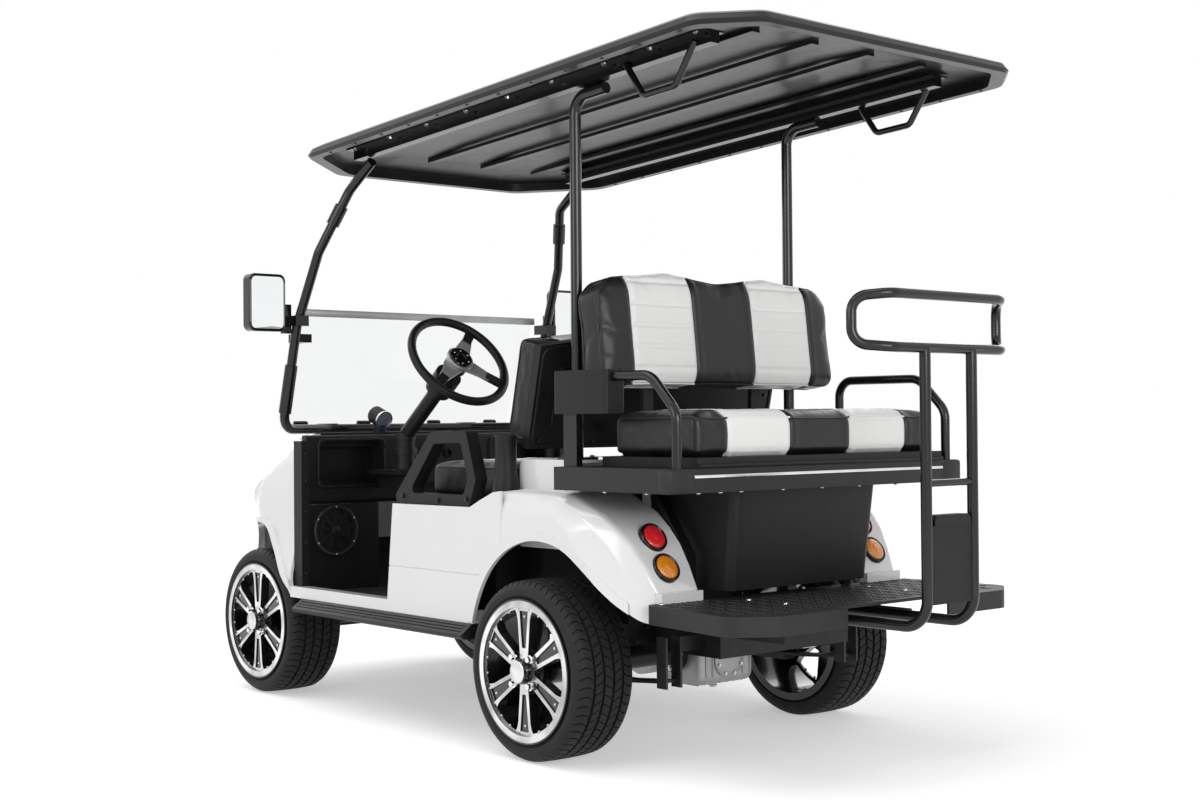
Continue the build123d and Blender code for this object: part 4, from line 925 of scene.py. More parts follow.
class Carcass(SubAssembly):
    """Finishes of the construction nodes that stay in view."""

    def dress(self) -> None:
        """Give every construction node its material and its shading."""
        for name, node in self.shop.nodes.items():
            finish = NODE_FINISHES.get(name)
            if finish is None:
                continue
            self._paint(node, self.shop.palette.get(finish))
        for wheel in WHEELS:
            axle = at(wheel.x, wheel.y, AXLE_Z)
            faces = WheelFaces("rim_" + wheel.name, wheel.side, abs(wheel.x) / 1000.0 + SPOKE_OUT, (axle.y, axle.z))
            self._paint(self.shop.nodes["rim_" + wheel.name], self.shop.palette.wheel(faces))

    def _paint(self, node: bpy.types.Object, material: bpy.types.Material) -> None:
        """Set a node's material and shading.

        Args:
            node: Construction node.
            material: Its new material.
        """
        for slot in node.material_slots:
            slot.material = material
        if not node.material_slots:
            node.data.materials.append(material)
        self.shop.repeats.soften(node)


# ---------------------------------------------------------------------------- wheels
@dataclass(frozen=True)
class Wheel:
    """Place of one wheel: its name, side (+1 driver's), middle plane and axle, in millimetres."""

    name: str
    side: float
    x: float
    y: float


WHEELS = (
    Wheel("front_left", 1.0, 464.0, -765.0),
    Wheel("front_right", -1.0, -464.0, -765.0),
    Wheel("rear_left", 1.0, 516.0, 765.0),
    Wheel("rear_right", -1.0, -516.0, 765.0),
)
AXLE_Z = 243.0
SPOKE_OUT = 0.091


@dataclass(frozen=True)
class TreadSizes:
    """Sizes of the tyre and its tread, in millimetres."""

    pitches: int = 60
    sipe_depth: float = 6.0
    zigzag: float = 0.26
    zigzag_reach: float = 76.0
    zigzag_waves: float = 2.6
    zigzag_end: float = 90.0
    sipe_end: float = 89.0
    shoulder_cut: float = 2.0
    # half section as (x, radius, kind): s is sidewall, r a rib's surface, g the bottom of a groove
    half: tuple[tuple[float, float, str], ...] = (
        (2.0, 242.9, "r"), (12.2, 242.8, "r"), (13.0, 235.4, "g"), (20.0, 235.3, "g"), (20.8, 242.7, "m"),
        (33.0, 242.5, "m"), (44.2, 242.2, "m"), (45.0, 234.8, "g"), (52.0, 234.6, "g"), (52.8, 241.9, "r"),
        (64.0, 241.4, "r"), (76.0, 240.4, "r"), (84.0, 236.6, "r"), (89.5, 231.6, "r"), (92.2, 227.8, "s"),
        (94.6, 222.0, "s"), (96.6, 217.0, "s"), (96.8, 212.0, "s"), (95.6, 207.5, "s"), (96.2, 204.5, "s"),
        (95.8, 202.0, "s"), (93.0, 200.5, "s"), (90.6, 196.0, "s"), (88.8, 190.0, "s"), (88.7, 178.1, "s"),
    )
    # rows round one pitch as (share, whether the edge ribs are cut, whether the middle ribs are cut)
    rows: tuple[tuple[float, bool, bool], ...] = (
        (0.0, False, False), (0.02, True, False), (0.13, True, False), (0.15, False, False),
        (0.50, False, False), (0.52, False, True), (0.62, False, True), (0.64, False, False), (0.85, False, False),
    )


class Tyre(SubAssembly):
    """Low tyre with five ribs, four grooves round it and zigzag sipes across the ribs."""

    def __init__(self, shop: Workshop, sizes: TreadSizes = TreadSizes()) -> None:
        super().__init__(shop)
        self.sizes = sizes

    def _columns(self) -> list[tuple[float, float, str]]:
        """Whole section from the inner bead over the tread to the outer bead.

        Returns:
            Its (x, radius, kind) points in millimetres.
        """
        half = list(self.sizes.half)
        return [(-x, r, k) for x, r, k in reversed(half)] + half

    def _pitch(self) -> bpy.types.Object:
        """One pitch of the tyre about the origin.

        Returns:
            The working object.
        """
        sizes, columns = self.sizes, self._columns()
        step = 2.0 * math.pi / sizes.pitches
        rows = list(sizes.rows) + [(1.0, sizes.rows[0][1], sizes.rows[0][2])]
        points: list[tuple[float, float, float]] = []
        for share, edge_cut, middle_cut in rows:
            for x, radius, kind in columns:
                wave = math.sin(abs(x) / sizes.zigzag_reach * sizes.zigzag_waves * math.pi)
                lean = sizes.zigzag * wave * (1.0 if x > 0 else -1.0)
                lean *= 1.0 if abs(x) < sizes.zigzag_end else 0.0
                cut = (kind == "r" and edge_cut) or (kind == "m" and middle_cut)
                deep = sizes.sipe_depth if abs(x) < sizes.sipe_end else sizes.shoulder_cut
                depth = deep if cut else 0.0
                turn = (share + lean) * step
                reach = (radius - depth) / 1000.0
                points.append((x / 1000.0, reach * math.cos(turn), reach * math.sin(turn)))
        width = len(columns)
        faces = []
        for row in range(len(rows) - 1):
            for column in range(width - 1):
                first = row * width + column
                faces.append((first, first + 1, first + width + 1, first + width))
            # the inner face between the beads closes the section
            faces.append((row * width + width - 1, row * width, (row + 1) * width, (row + 1) * width + width - 1))
        mesh = bpy.data.meshes.new("pitch")
        mesh.from_pydata(points, [], faces)
        return place_object("pitch", mesh)

    def make(self, wheel: Wheel) -> None:
        """Make and mount one tyre.

        Args:
            wheel: Wheel it goes on.
        """
        ring = self.shop.repeats.around("tread_" + wheel.name, self._pitch(), self.sizes.pitches,
                                        at(wheel.x, wheel.y, AXLE_Z), self.shop.mats(RUBBER), TYRE_ANGLE)
        face_outwards(ring.data)
        ring.data.set_sharp_from_angle(angle=math.radians(TYRE_ANGLE))
        self.shop.mount(ring, "wheel_" + wheel.name, "tyre_rubber", ["tyre_" + wheel.name])


class RimTrim(SubAssembly):
    """Lug nuts, spoke and lip bolts and centre cap of one wheel.

    Each ring of fasteners is (millimetres outwards from the wheel's middle plane, millimetres from the axle).
    """

    LUGS = (97.0, 50.8)
    SPOKE_BOLTS = (87.0, 146.0)
    LIP_BOLTS = (90.6, 164.5)
    LUG_SIZE = (0.019, 0.019, 0.030)
    SPOKE_BOLT_SIZE = (0.009, 0.009, 0.012)
    LIP_BOLT_SIZE = (0.008, 0.008, 0.008)
    CAP_OUT = 91.0
    CAP_SEAT = ((0.0, 0.0), (0.034, 0.0), (0.0345, 0.004), (0.033, 0.010), (0.0305, 0.0165), (0.0305, 0.012),
                (0.0, 0.012))
    CAP_FACE = ((0.0, 0.008), (0.0285, 0.008), (0.0285, 0.0238), (0.0268, 0.0250), (0.0, 0.0252))

    def make(self, wheel: Wheel) -> None:
        """Make and mount the trim of one wheel.

        Args:
            wheel: Wheel it goes on.
        """
        out = Vector((wheel.side, 0.0, 0.0))
        body = "wheel_" + wheel.name
        nuts = []
        for lug in range(4):
            angle = math.radians(45.0 + lug * 90.0)
            nuts.append(Station(self._spot(wheel, *self.LUGS, angle), out, self.LUG_SIZE, lug * 0.4))
        self.shop.fasten("lug_nuts_" + wheel.name, Head.HEX, nuts, CHROME, body, "wheel_alloy")
        bolts = [Station(self._spot(wheel, *self.SPOKE_BOLTS, math.radians(60.0 * s) + math.pi / 2.0), out,
                         self.SPOKE_BOLT_SIZE, 0.3 * s) for s in range(6)]
        bolts += [Station(self._spot(wheel, *self.LIP_BOLTS, math.radians(15.0 * s + 7.5) + math.pi / 2.0), out,
                          self.LIP_BOLT_SIZE, 0.2 * s) for s in range(24)]
        self.shop.fasten("spoke_bolts_" + wheel.name, Head.PAN, bolts, ZINC, body, "wheel_alloy")
        cap = MeshBuilder("centre_cap_" + wheel.name)
        base = aim(at(wheel.x + wheel.side * self.CAP_OUT, wheel.y, AXLE_Z), out)
        cap.lathe(self.CAP_SEAT, base, 40, 1)
        cap.lathe(self.CAP_FACE, base, 40, 0)
        self.shop.fit(cap, body, "wheel_alloy", ALLOY, GLOSS_BLACK)

    @staticmethod
    def _spot(wheel: Wheel, out: float, radius: float, angle: float) -> Vector:
        """Place on a wheel's outer side: outwards from its middle plane, off its axle, and the angle round it."""
        return at(wheel.x + wheel.side * out, wheel.y + radius * math.cos(angle), AXLE_Z + radius * math.sin(angle))


# ---------------------------------------------------------------------------- upholstery
@dataclass(frozen=True)
class Cushion:
    """One padded piece: its construction node, body, how it swells, and its channels. Sizes are in metres."""

    node: str
    body: str
    cap: float
    channels: tuple[float, ...]
    channel_axis: int = 2
    foot: bool = False
    inset: float = 0.007
    fill: float = 0.9

    @property
    def name(self) -> str:
        """Name of the padded piece."""
        return self.node + "_pad"


CUSHIONS = (
    Cushion("rear_backrest", "cart", 0.012, (1.290, 1.228, 1.170, 1.112, 1.053)),
    Cushion("rear_cushion", "rear_seat", 0.010, (0.745, 0.805, 0.865, 0.925), channel_axis=1, foot=True),
    Cushion("front_backrest", "cart", 0.010, (0.90, 0.958, 1.016, 1.074, 1.132)),
    Cushion("front_cushion", "front_seat", 0.010, (-0.125, -0.06, 0.005, 0.07, 0.135), channel_axis=1, foot=True),
)


class Upholstery(SubAssembly):
    """Swells the plain seat solids by cloth simulation and sews seams and channels into them."""

    VOXEL = 0.0085
    FRAMES = 20
    RELAX_ROUNDS = 5
    STIFFNESS, BENDING, MASS, PRESSURE = 22.0, 2.0, 0.4, 4.0
    # seam, the swelling beside it and channel as (depth, half width); the swelling stands off the seam
    SEAM, SWELL, SWELL_OFF = (0.0042, 0.0042), (0.0016, 0.010), 0.016
    CHANNEL, CHANNEL_LIFT, CHANNEL_FADE, CHANNEL_FACING = (0.0062, 0.0050), 0.0018, 0.012, 0.55
    ROOM, ROOM_ABOVE, FOOT_FLAT, FOOT_GAP = 0.004, 0.006, 0.0065, 0.0003

    def make(self, cushion: Cushion) -> bpy.types.Object:
        """Make and mount one padded piece.

        Args:
            cushion: What is padded and how.

        Returns:
            The padded piece.
        """
        low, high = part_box(cushion.node)
        work = self._shrunk(cushion, low, high)
        self._swell(work, cushion)
        subdivide(work)
        self._sew(work, cushion)
        self._clamp(work, cushion, low, high)
        mesh = work.data
        mesh.materials.clear()
        mesh.materials.append(self.shop.palette.get(STRIPED))
        mesh.name = cushion.name
        work.name = cushion.name
        mesh.shade_smooth()
        self.shop.mount(work, cushion.body, "black_vinyl", [cushion.node])
        return work

    def _shrunk(self, cushion: Cushion, low: Vector, high: Vector) -> bpy.types.Object:
        """Remeshed copy of the construction solid, drawn in so that it can swell.

        Args:
            cushion: The padded piece.
            low: Lowest corner of the solid.
            high: Highest corner of the solid.

        Returns:
            The working object.
        """
        source = self.shop.nodes[cushion.node]
        edit = bmesh.new()
        edit.from_mesh(source.data)
        bmesh.ops.remove_doubles(edit, verts=edit.verts[:], dist=0.00003)
        middle = (Vector(low) + Vector(high)) / 2.0
        size = Vector(high) - Vector(low)
        for vertex in edit.verts:
            for axis in range(3):
                share = 1.0 - 2.0 * cushion.inset / size[axis]
                vertex.co[axis] = middle[axis] + (vertex.co[axis] - middle[axis]) * share
        mesh = bpy.data.meshes.new(cushion.name + "_work")
        edit.to_mesh(mesh)
        edit.free()
        work = place_object(cushion.name + "_work", mesh)
        remesh = work.modifiers.new("remesh", "REMESH")
        remesh.mode = "VOXEL"
        remesh.voxel_size = self.VOXEL
        remesh.adaptivity = 0.0
        bake(work)
        with edited(work.data) as relax:
            for _ in range(self.RELAX_ROUNDS):
                bmesh.ops.smooth_vert(relax, verts=relax.verts[:], factor=0.5, use_axis_x=True, use_axis_y=True,
                                      use_axis_z=True)
        return work

    def _swell(self, work: bpy.types.Object, cushion: Cushion) -> None:
        """Inflate the working mesh with cloth pressure, with each point's travel capped.

        Args:
            work: The working object.
            cushion: The padded piece.
        """
        scene = bpy.context.scene
        start = [v.co.copy() for v in work.data.vertices]
        cloth = work.modifiers.new("cloth", "CLOTH")
        settings = cloth.settings
        settings.quality = 4
        settings.mass = self.MASS
        settings.tension_stiffness = self.STIFFNESS
        settings.compression_stiffness = self.STIFFNESS
        settings.bending_stiffness = self.BENDING
        settings.use_pressure = True
        settings.uniform_pressure_force = self.PRESSURE
        settings.effector_weights.gravity = 0.0
        cloth.point_cache.frame_start = 1
        cloth.point_cache.frame_end = self.FRAMES
        for frame in range(1, self.FRAMES + 1):
            scene.frame_set(frame)
            work.evaluated_get(bpy.context.evaluated_depsgraph_get()).data.vertices[0].co.copy()
        graph = bpy.context.evaluated_depsgraph_get()
        moved = [v.co.copy() for v in work.evaluated_get(graph).data.vertices]
        work.modifiers.remove(cloth)
        for vertex, before, after in zip(work.data.vertices, start, moved):
            travel = after - before
            limit = cushion.cap
            if travel.length > limit:
                travel = travel.normalized() * (limit * (1.0 - math.exp(-travel.length / limit)))
            vertex.co = before + travel
        scene.frame_set(1)
        work.data.update()

    def _sew(self, work: bpy.types.Object, cushion: Cushion) -> None:
        """Press the seams and the sewn channels into the surface.

        Args:
            work: The working object.
            cushion: The padded piece.
        """
        mesh = work.data
        mesh.update()
        normals = [n.vector.copy() for n in mesh.vertex_normals]
        band_low, band_high = BAND
        for vertex, normal in zip(mesh.vertices, normals):
            across = abs(vertex.co.x)
            depth = 0.0
            for seam in BAND:
                depth += self._dent(across - seam, *self.SEAM)
                depth -= self._dent(abs(across - seam) - self.SWELL_OFF, *self.SWELL)
            if band_low < across < band_high and abs(normal[3 - cushion.channel_axis]) > self.CHANNEL_FACING:
                fade = min(1.0, (across - band_low) / self.CHANNEL_FADE, (band_high - across) / self.CHANNEL_FADE)
                along = vertex.co[cushion.channel_axis]
                for channel in cushion.channels:
                    depth += fade * self._dent(along - channel, *self.CHANNEL)
                depth -= fade * self.CHANNEL_LIFT
            vertex.co -= normal * depth
        mesh.update()

    @staticmethod
    def _dent(distance: float, depth: float, half_width: float) -> float:
        """Depth of a rounded dent at a distance from its middle line."""
        return depth * math.exp(-(distance / half_width) ** 2)

    def _clamp(self, work: bpy.types.Object, cushion: Cushion, low: Vector, high: Vector) -> None:
        """Keep the pad in its solid's space and flat where it rests.

        Args:
            work: The working object.
            cushion: The padded piece.
            low: Lowest corner of the solid.
            high: Highest corner of the solid.
        """
        for vertex in work.data.vertices:
            for axis in range(3):
                room = self.ROOM if axis != 2 or not cushion.foot else 0.0
                above = self.ROOM_ABOVE if axis == 2 else room
                vertex.co[axis] = max(low[axis] - room, min(high[axis] + above, vertex.co[axis]))
            if cushion.foot and vertex.co.z < low[2] + self.FOOT_FLAT:
                vertex.co.z = low[2] + self.FOOT_GAP
        work.data.update()


def bake(work: bpy.types.Object) -> None:
    """Replace an object's mesh by the result of its modifiers.

    Args:
        work: The object.
    """
    mesh = plain_mesh(work)
    work.modifiers.clear()
    spare = work.data
    work.data = mesh
    bpy.data.meshes.remove(spare)


def subdivide(work: bpy.types.Object) -> None:
    """Subdivide an object's mesh once, smoothly.

    Args:
        work: The object.
    """
    finer = work.modifiers.new("finer", "SUBSURF")
    finer.levels = 1
    finer.render_levels = 1
    bake(work)


class Piping(SubAssembly):
    """Sewn edge cord along the outline of the two backrests and the cushions."""

    STEP, RADIUS, PROUD, ROUNDS = 0.012, 0.0026, 0.0006, 3

    def make(self, pad: bpy.types.Object, cushion: Cushion, outlines: Sequence[Sequence[Vector]]) -> None:
        """Lay the cord on the pad along each outline.

        Args:
            pad: The padded piece.
            cushion: What the pad is.
            outlines: Closed rows of points near the pad's surface.
        """
        edit = bmesh.new()
        edit.from_mesh(pad.data)
        tree = BVHTree.FromBMesh(edit)
        cord = MeshBuilder(cushion.name + "_piping")
        for outline in outlines:
            line = []
            for point in resample(outline, self.STEP):
                found, normal, _, _ = tree.find_nearest(point)
                if found is not None:
                    line.append(found + normal * self.PROUD)
            for _ in range(self.ROUNDS):
                line = [(line[i - 1] + line[i] * 2.0 + line[(i + 1) % len(line)]) / 4.0 for i in range(len(line))]
            cord.tube(line, self.RADIUS, 8, closed=True)
        edit.free()
        self.shop.fit(cord, cushion.body, "black_vinyl", STRIPED, smooth=SOFT_ANGLE)


def resample(outline: Sequence[Vector], step: float) -> list[Vector]:
    """Points evenly along a closed outline.

    Args:
        outline: Its corners.
        step: Distance between the new points.

    Returns:
        The new points.
    """
    dense: list[Vector] = []
    for index, corner in enumerate(outline):
        ahead = outline[(index + 1) % len(outline)]
        count = max(1, round((ahead - corner).length / step))
        dense.extend(corner.lerp(ahead, share / count) for share in range(count))
    return dense


def smooth_row(corners: Sequence[Vector], rounds: int = 3) -> list[Vector]:
    """Cut the corners of a closed row of points until it runs in curves.

    Args:
        corners: The row's corners.
        rounds: How many times the corners are cut.

    Returns:
        The smoothed row.
    """
    row = list(corners)
    for _ in range(rounds):
        row = [p for i, a in enumerate(row) for b in (row[(i + 1) % len(row)],)
               for p in (a.lerp(b, 0.25), a.lerp(b, 0.75))]
    return row


class Seating(SubAssembly):
    """All four padded pieces, with their piping."""

    INSET, BELOW_TOP = 0.012, 0.014

    def make(self) -> None:
        """Make every pad and its cord."""
        maker, piping = Upholstery(self.shop), Piping(self.shop)
        for cushion in CUSHIONS:
            piping.make(maker.make(cushion), cushion, self._outlines(cushion))

    def _outlines(self, cushion: Cushion) -> list[list[Vector]]:
        """Where the cord runs on a pad.

        Args:
            cushion: What the pad is.

        Returns:
            Closed rows of points.
        """
        if cushion.foot:
            low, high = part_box(cushion.node)
            left, right = low[0] + self.INSET, high[0] - self.INSET
            front, back = low[1] + self.INSET, high[1] - self.INSET
            return [[Vector((x, y, high[2] - self.BELOW_TOP))
                     for x, y in ((left, front), (right, front), (right, back), (left, back))]]
        if cushion.node == "rear_backrest":
            shape = [(-466, 26), (-466, 268), (-418, 314), (-200, 341), (0, 318), (200, 341), (418, 314), (466, 268),
                     (466, 26), (436, 5), (-436, 5)]
            foot, tilt, faces = at(0, 936, 993), math.radians(7.0), (-0.012, -0.088)
        else:
            shape = [(-466, 24), (-466, 296), (-240, 330), (0, 308), (240, 330), (466, 296), (466, 24), (436, 5),
                     (-436, 5)]
            foot, tilt, faces = at(0, 489, 857), math.radians(-13.0), (0.012, 0.088)
        rows = []
        for depth in faces:
            place = Matrix.Translation(foot) @ Matrix.Rotation(tilt, 4, "X")
            rows.append([place @ Vector((x / 1000.0, depth, z / 1000.0)) for x, z in shape])
        return rows


# ---------------------------------------------------------------------------- lamps
class Lamps(SubAssembly):
    """Tail lamps on the fenders, and the rims and reflectors of the headlamps."""

    TAIL = (("tail_lamps_red", LENS_RED, "red_lens", 1064.0, 603.0),
            ("tail_lamps_amber", LENS_AMBER, "amber_lens", 1112.0, 527.0))
    TURN = math.radians(58.0)
    X = 410.0
    RADIUS = 0.041
    RIM, FOOT, FLOOR, SHOULDER, DOME = 0.0078, -0.024, 0.0015, 0.0072, 0.0056
    FACETS, FACET_RADIUS, FACET_HEIGHT, FACET_SIZE = 30, 0.0362, 0.0076, (0.0046, 0.0026, 0.0030)
    HEAD = (318.0, -1092.0, 648.0)
    HEAD_RADIUS, HEAD_RISE, HEAD_FOOT = 0.0575, 0.0105, 0.0010
    RIB_REACHES, RIB_RISE, RIB_RADIUS = (0.014, 0.024, 0.034, 0.044), 0.0108, 0.0012

    def make(self) -> None:
        """Make every lamp."""
        facing = Vector((0.0, math.sin(self.TURN), math.cos(self.TURN)))
        for node, finish, slot, y, z in self.TAIL:
            lamp = MeshBuilder(node + "_lens")
            for side in SIDES:
                base = aim(at(side * self.X, y, z), facing)
                radius = self.RADIUS
                lamp.lathe([(0.0, self.FOOT), (radius, self.FOOT), (radius, 0.0050), (radius - 0.0012, 0.0078),
                            (radius - 0.0040, 0.0084), (radius - 0.0066, 0.0068), (radius - 0.0072, 0.0030),
                            (0.0, 0.0030)], base, 56, 1)
                inner = radius - self.RIM
                dome = [(inner * math.cos(a), self.SHOULDER + self.DOME * math.sin(a))
                        for a in (0.25, 0.55, 0.85, 1.15, 1.4)]
                lamp.lathe([(0.0, self.FLOOR), (inner, self.FLOOR), (inner, self.SHOULDER), *dome,
                            (0.0, self.SHOULDER + self.DOME)], base, 56, 0)
                lamp.lathe([(0.0, 0.0100), (0.0118, 0.0100), (0.0118, 0.0131), (0.0100, 0.0138), (0.0, 0.0139)],
                           base, 32, 0)
            self.shop.fit(lamp, "cart", slot, finish, GLOSS_BLACK, replaces=[node])
            facets = []
            for side in SIDES:
                base = aim(at(side * self.X, y, z), facing)
                facets += [Station(base @ round_about(turn, self.FACET_RADIUS, self.FACET_HEIGHT), facing,
                                   self.FACET_SIZE, turn) for turn in turns(self.FACETS)]
            self.shop.fasten(node + "_facets", Head.BAR, facets, DARK_BOLT, "cart", "black_gloss")
        self._heads()

    def _heads(self) -> None:
        """Bucket, chrome bezel and ribbed dome of each headlamp."""
        trim = MeshBuilder("headlamp_trim")
        for side in SIDES:
            x, y, z = self.HEAD
            base = aim(at(side * x, y, z), -Vector(REAR))
            trim.lathe([(0.0, -0.1300), (0.0650, -0.1300), (0.0655, -0.0590), (0.0, -0.0590)], base, 64, 1)
            trim.lathe([(0.056, -0.003), (0.0650, -0.0585), (0.0668, -0.0580), (0.0668, 0.0010), (0.0636, 0.0056),
                        (0.0590, 0.0050), (0.056, 0.0005), (0.056, -0.003)], base, 64, 0)
            dome = [(self.HEAD_RADIUS * math.cos(a), self.HEAD_FOOT + self.HEAD_RISE * math.sin(a))
                    for a in (0.1, 0.4, 0.7, 1.0, 1.3)]
            trim.lathe([(0.0, -0.0005), (self.HEAD_RADIUS, -0.0005), *dome, (0.0, self.HEAD_FOOT + self.HEAD_RISE)],
                       base, 64, 2)
            for reach in self.RIB_REACHES:
                height = self.RIB_RISE * (1.0 - (reach / self.HEAD_RADIUS) ** 2) ** 0.5
                trim.tube([base @ round_about(turn, reach, height) for turn in turns(48)], self.RIB_RADIUS, 6,
                          closed=True, slot=2)
        self.shop.fit(trim, "cart", "lamp_glass", CHROME, BODY_WHITE, LAMP_CLEAR)


# ---------------------------------------------------------------------------- cabin
class SteeringTrim(SubAssembly):
    """Hub disc, silver spoke plates, padded grip and screws of the steering wheel."""

    CENTRE = (240.0, -32.0, 1102.0)
    SPOKES = (38.0, 144.0, 230.0)
    THUMBS, THUMB_SWELL, THUMB_WIDTH, THUMB_DRAW = (28.0, 154.0), 0.16, 9.0, 0.010
    RIM, GRIP, GRIP_HEIGHT, SECTIONS, SEGMENTS = 0.165, 0.0137, 0.0138, 96, 16
    SCREW_RADIUS, SCREW_HEIGHT, SCREW_SIZE = 0.0265, 0.0202, (0.0060, 0.0060, 0.0060)
    TILT = -52.0

    def __init__(self, shop: Workshop) -> None:
        super().__init__(shop)
        tilt = Matrix.Rotation(math.radians(self.TILT), 4, "X")
        self.place = Matrix.Translation(at(*self.CENTRE)) @ tilt

    def make(self) -> None:
        """Make and mount the trim."""
        silver, dark = MeshBuilder("spoke_plates"), MeshBuilder("wheel_grips")
        for turn in self.SPOKES:
            frame = self.place @ Matrix.Rotation(math.radians(turn), 4, "Z")
            silver.add(*self._plate(0.030, 0.112, 0.0300, 0.0165, -0.0032, 0.0016), 0, frame)
            dark.add(*self._plate(0.100, 0.150, 0.0150, 0.0165, -0.0064, 0.0040), 0, frame)
        silver.lathe([(0.0, -0.002), (0.0450, -0.002), (0.0455, 0.0120), (0.0430, 0.0150), (0.0, 0.0150)], self.place,
                     48, 0)
        dark.lathe([(0.0, 0.0145), (0.0380, 0.0145), (0.0380, 0.0190), (0.0360, 0.0208), (0.0165, 0.0200),
                    (0.0150, 0.0180), (0.0, 0.0180)], self.place, 48, 1)
        self._rim(dark)
        self.shop.fit(silver, "steering_wheel", "wheel_alloy", SATIN)
        self.shop.fit(dark, "steering_wheel", "black_plastic", PLASTIC, GLOSS_BLACK)
        screws = [Station(self.place @ round_about(a, self.SCREW_RADIUS, self.SCREW_HEIGHT),
                          self.place.to_3x3() @ Vector(UP), self.SCREW_SIZE)
                  for a in (math.radians(60.0 * s + 15.0) for s in range(6))]
        self.shop.fasten("hub_screws", Head.PAN, screws, CHROME, "steering_wheel", "wheel_alloy")

    @staticmethod
    def _plate(start: float, end: float, near: float, far: float, low: float,
               high: float) -> tuple[list[Vector], list[tuple[int, ...]]]:
        """Tapered plate along local X with drawn-in upper edges.

        Args:
            start: Where it starts.
            end: Where it ends.
            near: Half width at its start.
            far: Half width at its end.
            low: Height of its underside.
            high: Height of its face.

        Returns:
            Its points and faces.
        """
        points: list[Vector] = []
        for height, draw in ((low, 0.0), (high - 0.0012, 0.0), (high, 0.0014)):
            points += [Vector((start, -near + draw, height)), Vector((end, -far + draw, height)),
                       Vector((end, far - draw, height)), Vector((start, near - draw, height))]
        faces: list[tuple[int, ...]] = [(3, 2, 1, 0), (8, 9, 10, 11)]
        for level in (0, 4):
            for side in range(4):
                ahead = (side + 1) % 4
                faces.append((level + side, level + ahead, level + 4 + ahead, level + 4 + side))
        return points, faces

    def _rim(self, dark: MeshBuilder) -> None:
        """Padded grip round the rim with a bulge at each thumb rest.

        Args:
            dark: Builder it goes into.
        """
        points: list[Vector] = []
        for turn in turns(self.SECTIONS):
            offs = [((math.degrees(turn) - thumb + 180.0) % 360.0) - 180.0 for thumb in self.THUMBS]
            swell = 1.0 + self.THUMB_SWELL * max(math.exp(-(off / self.THUMB_WIDTH) ** 2) for off in offs)
            for around in turns(self.SEGMENTS):
                reach = self.RIM + self.GRIP * swell * math.cos(around) - (swell - 1.0) * self.THUMB_DRAW
                points.append(round_about(turn, reach, self.GRIP_HEIGHT * math.sin(around)))
        dark.add(points, ring_faces(self.SECTIONS, self.SEGMENTS, True), 0, self.place)


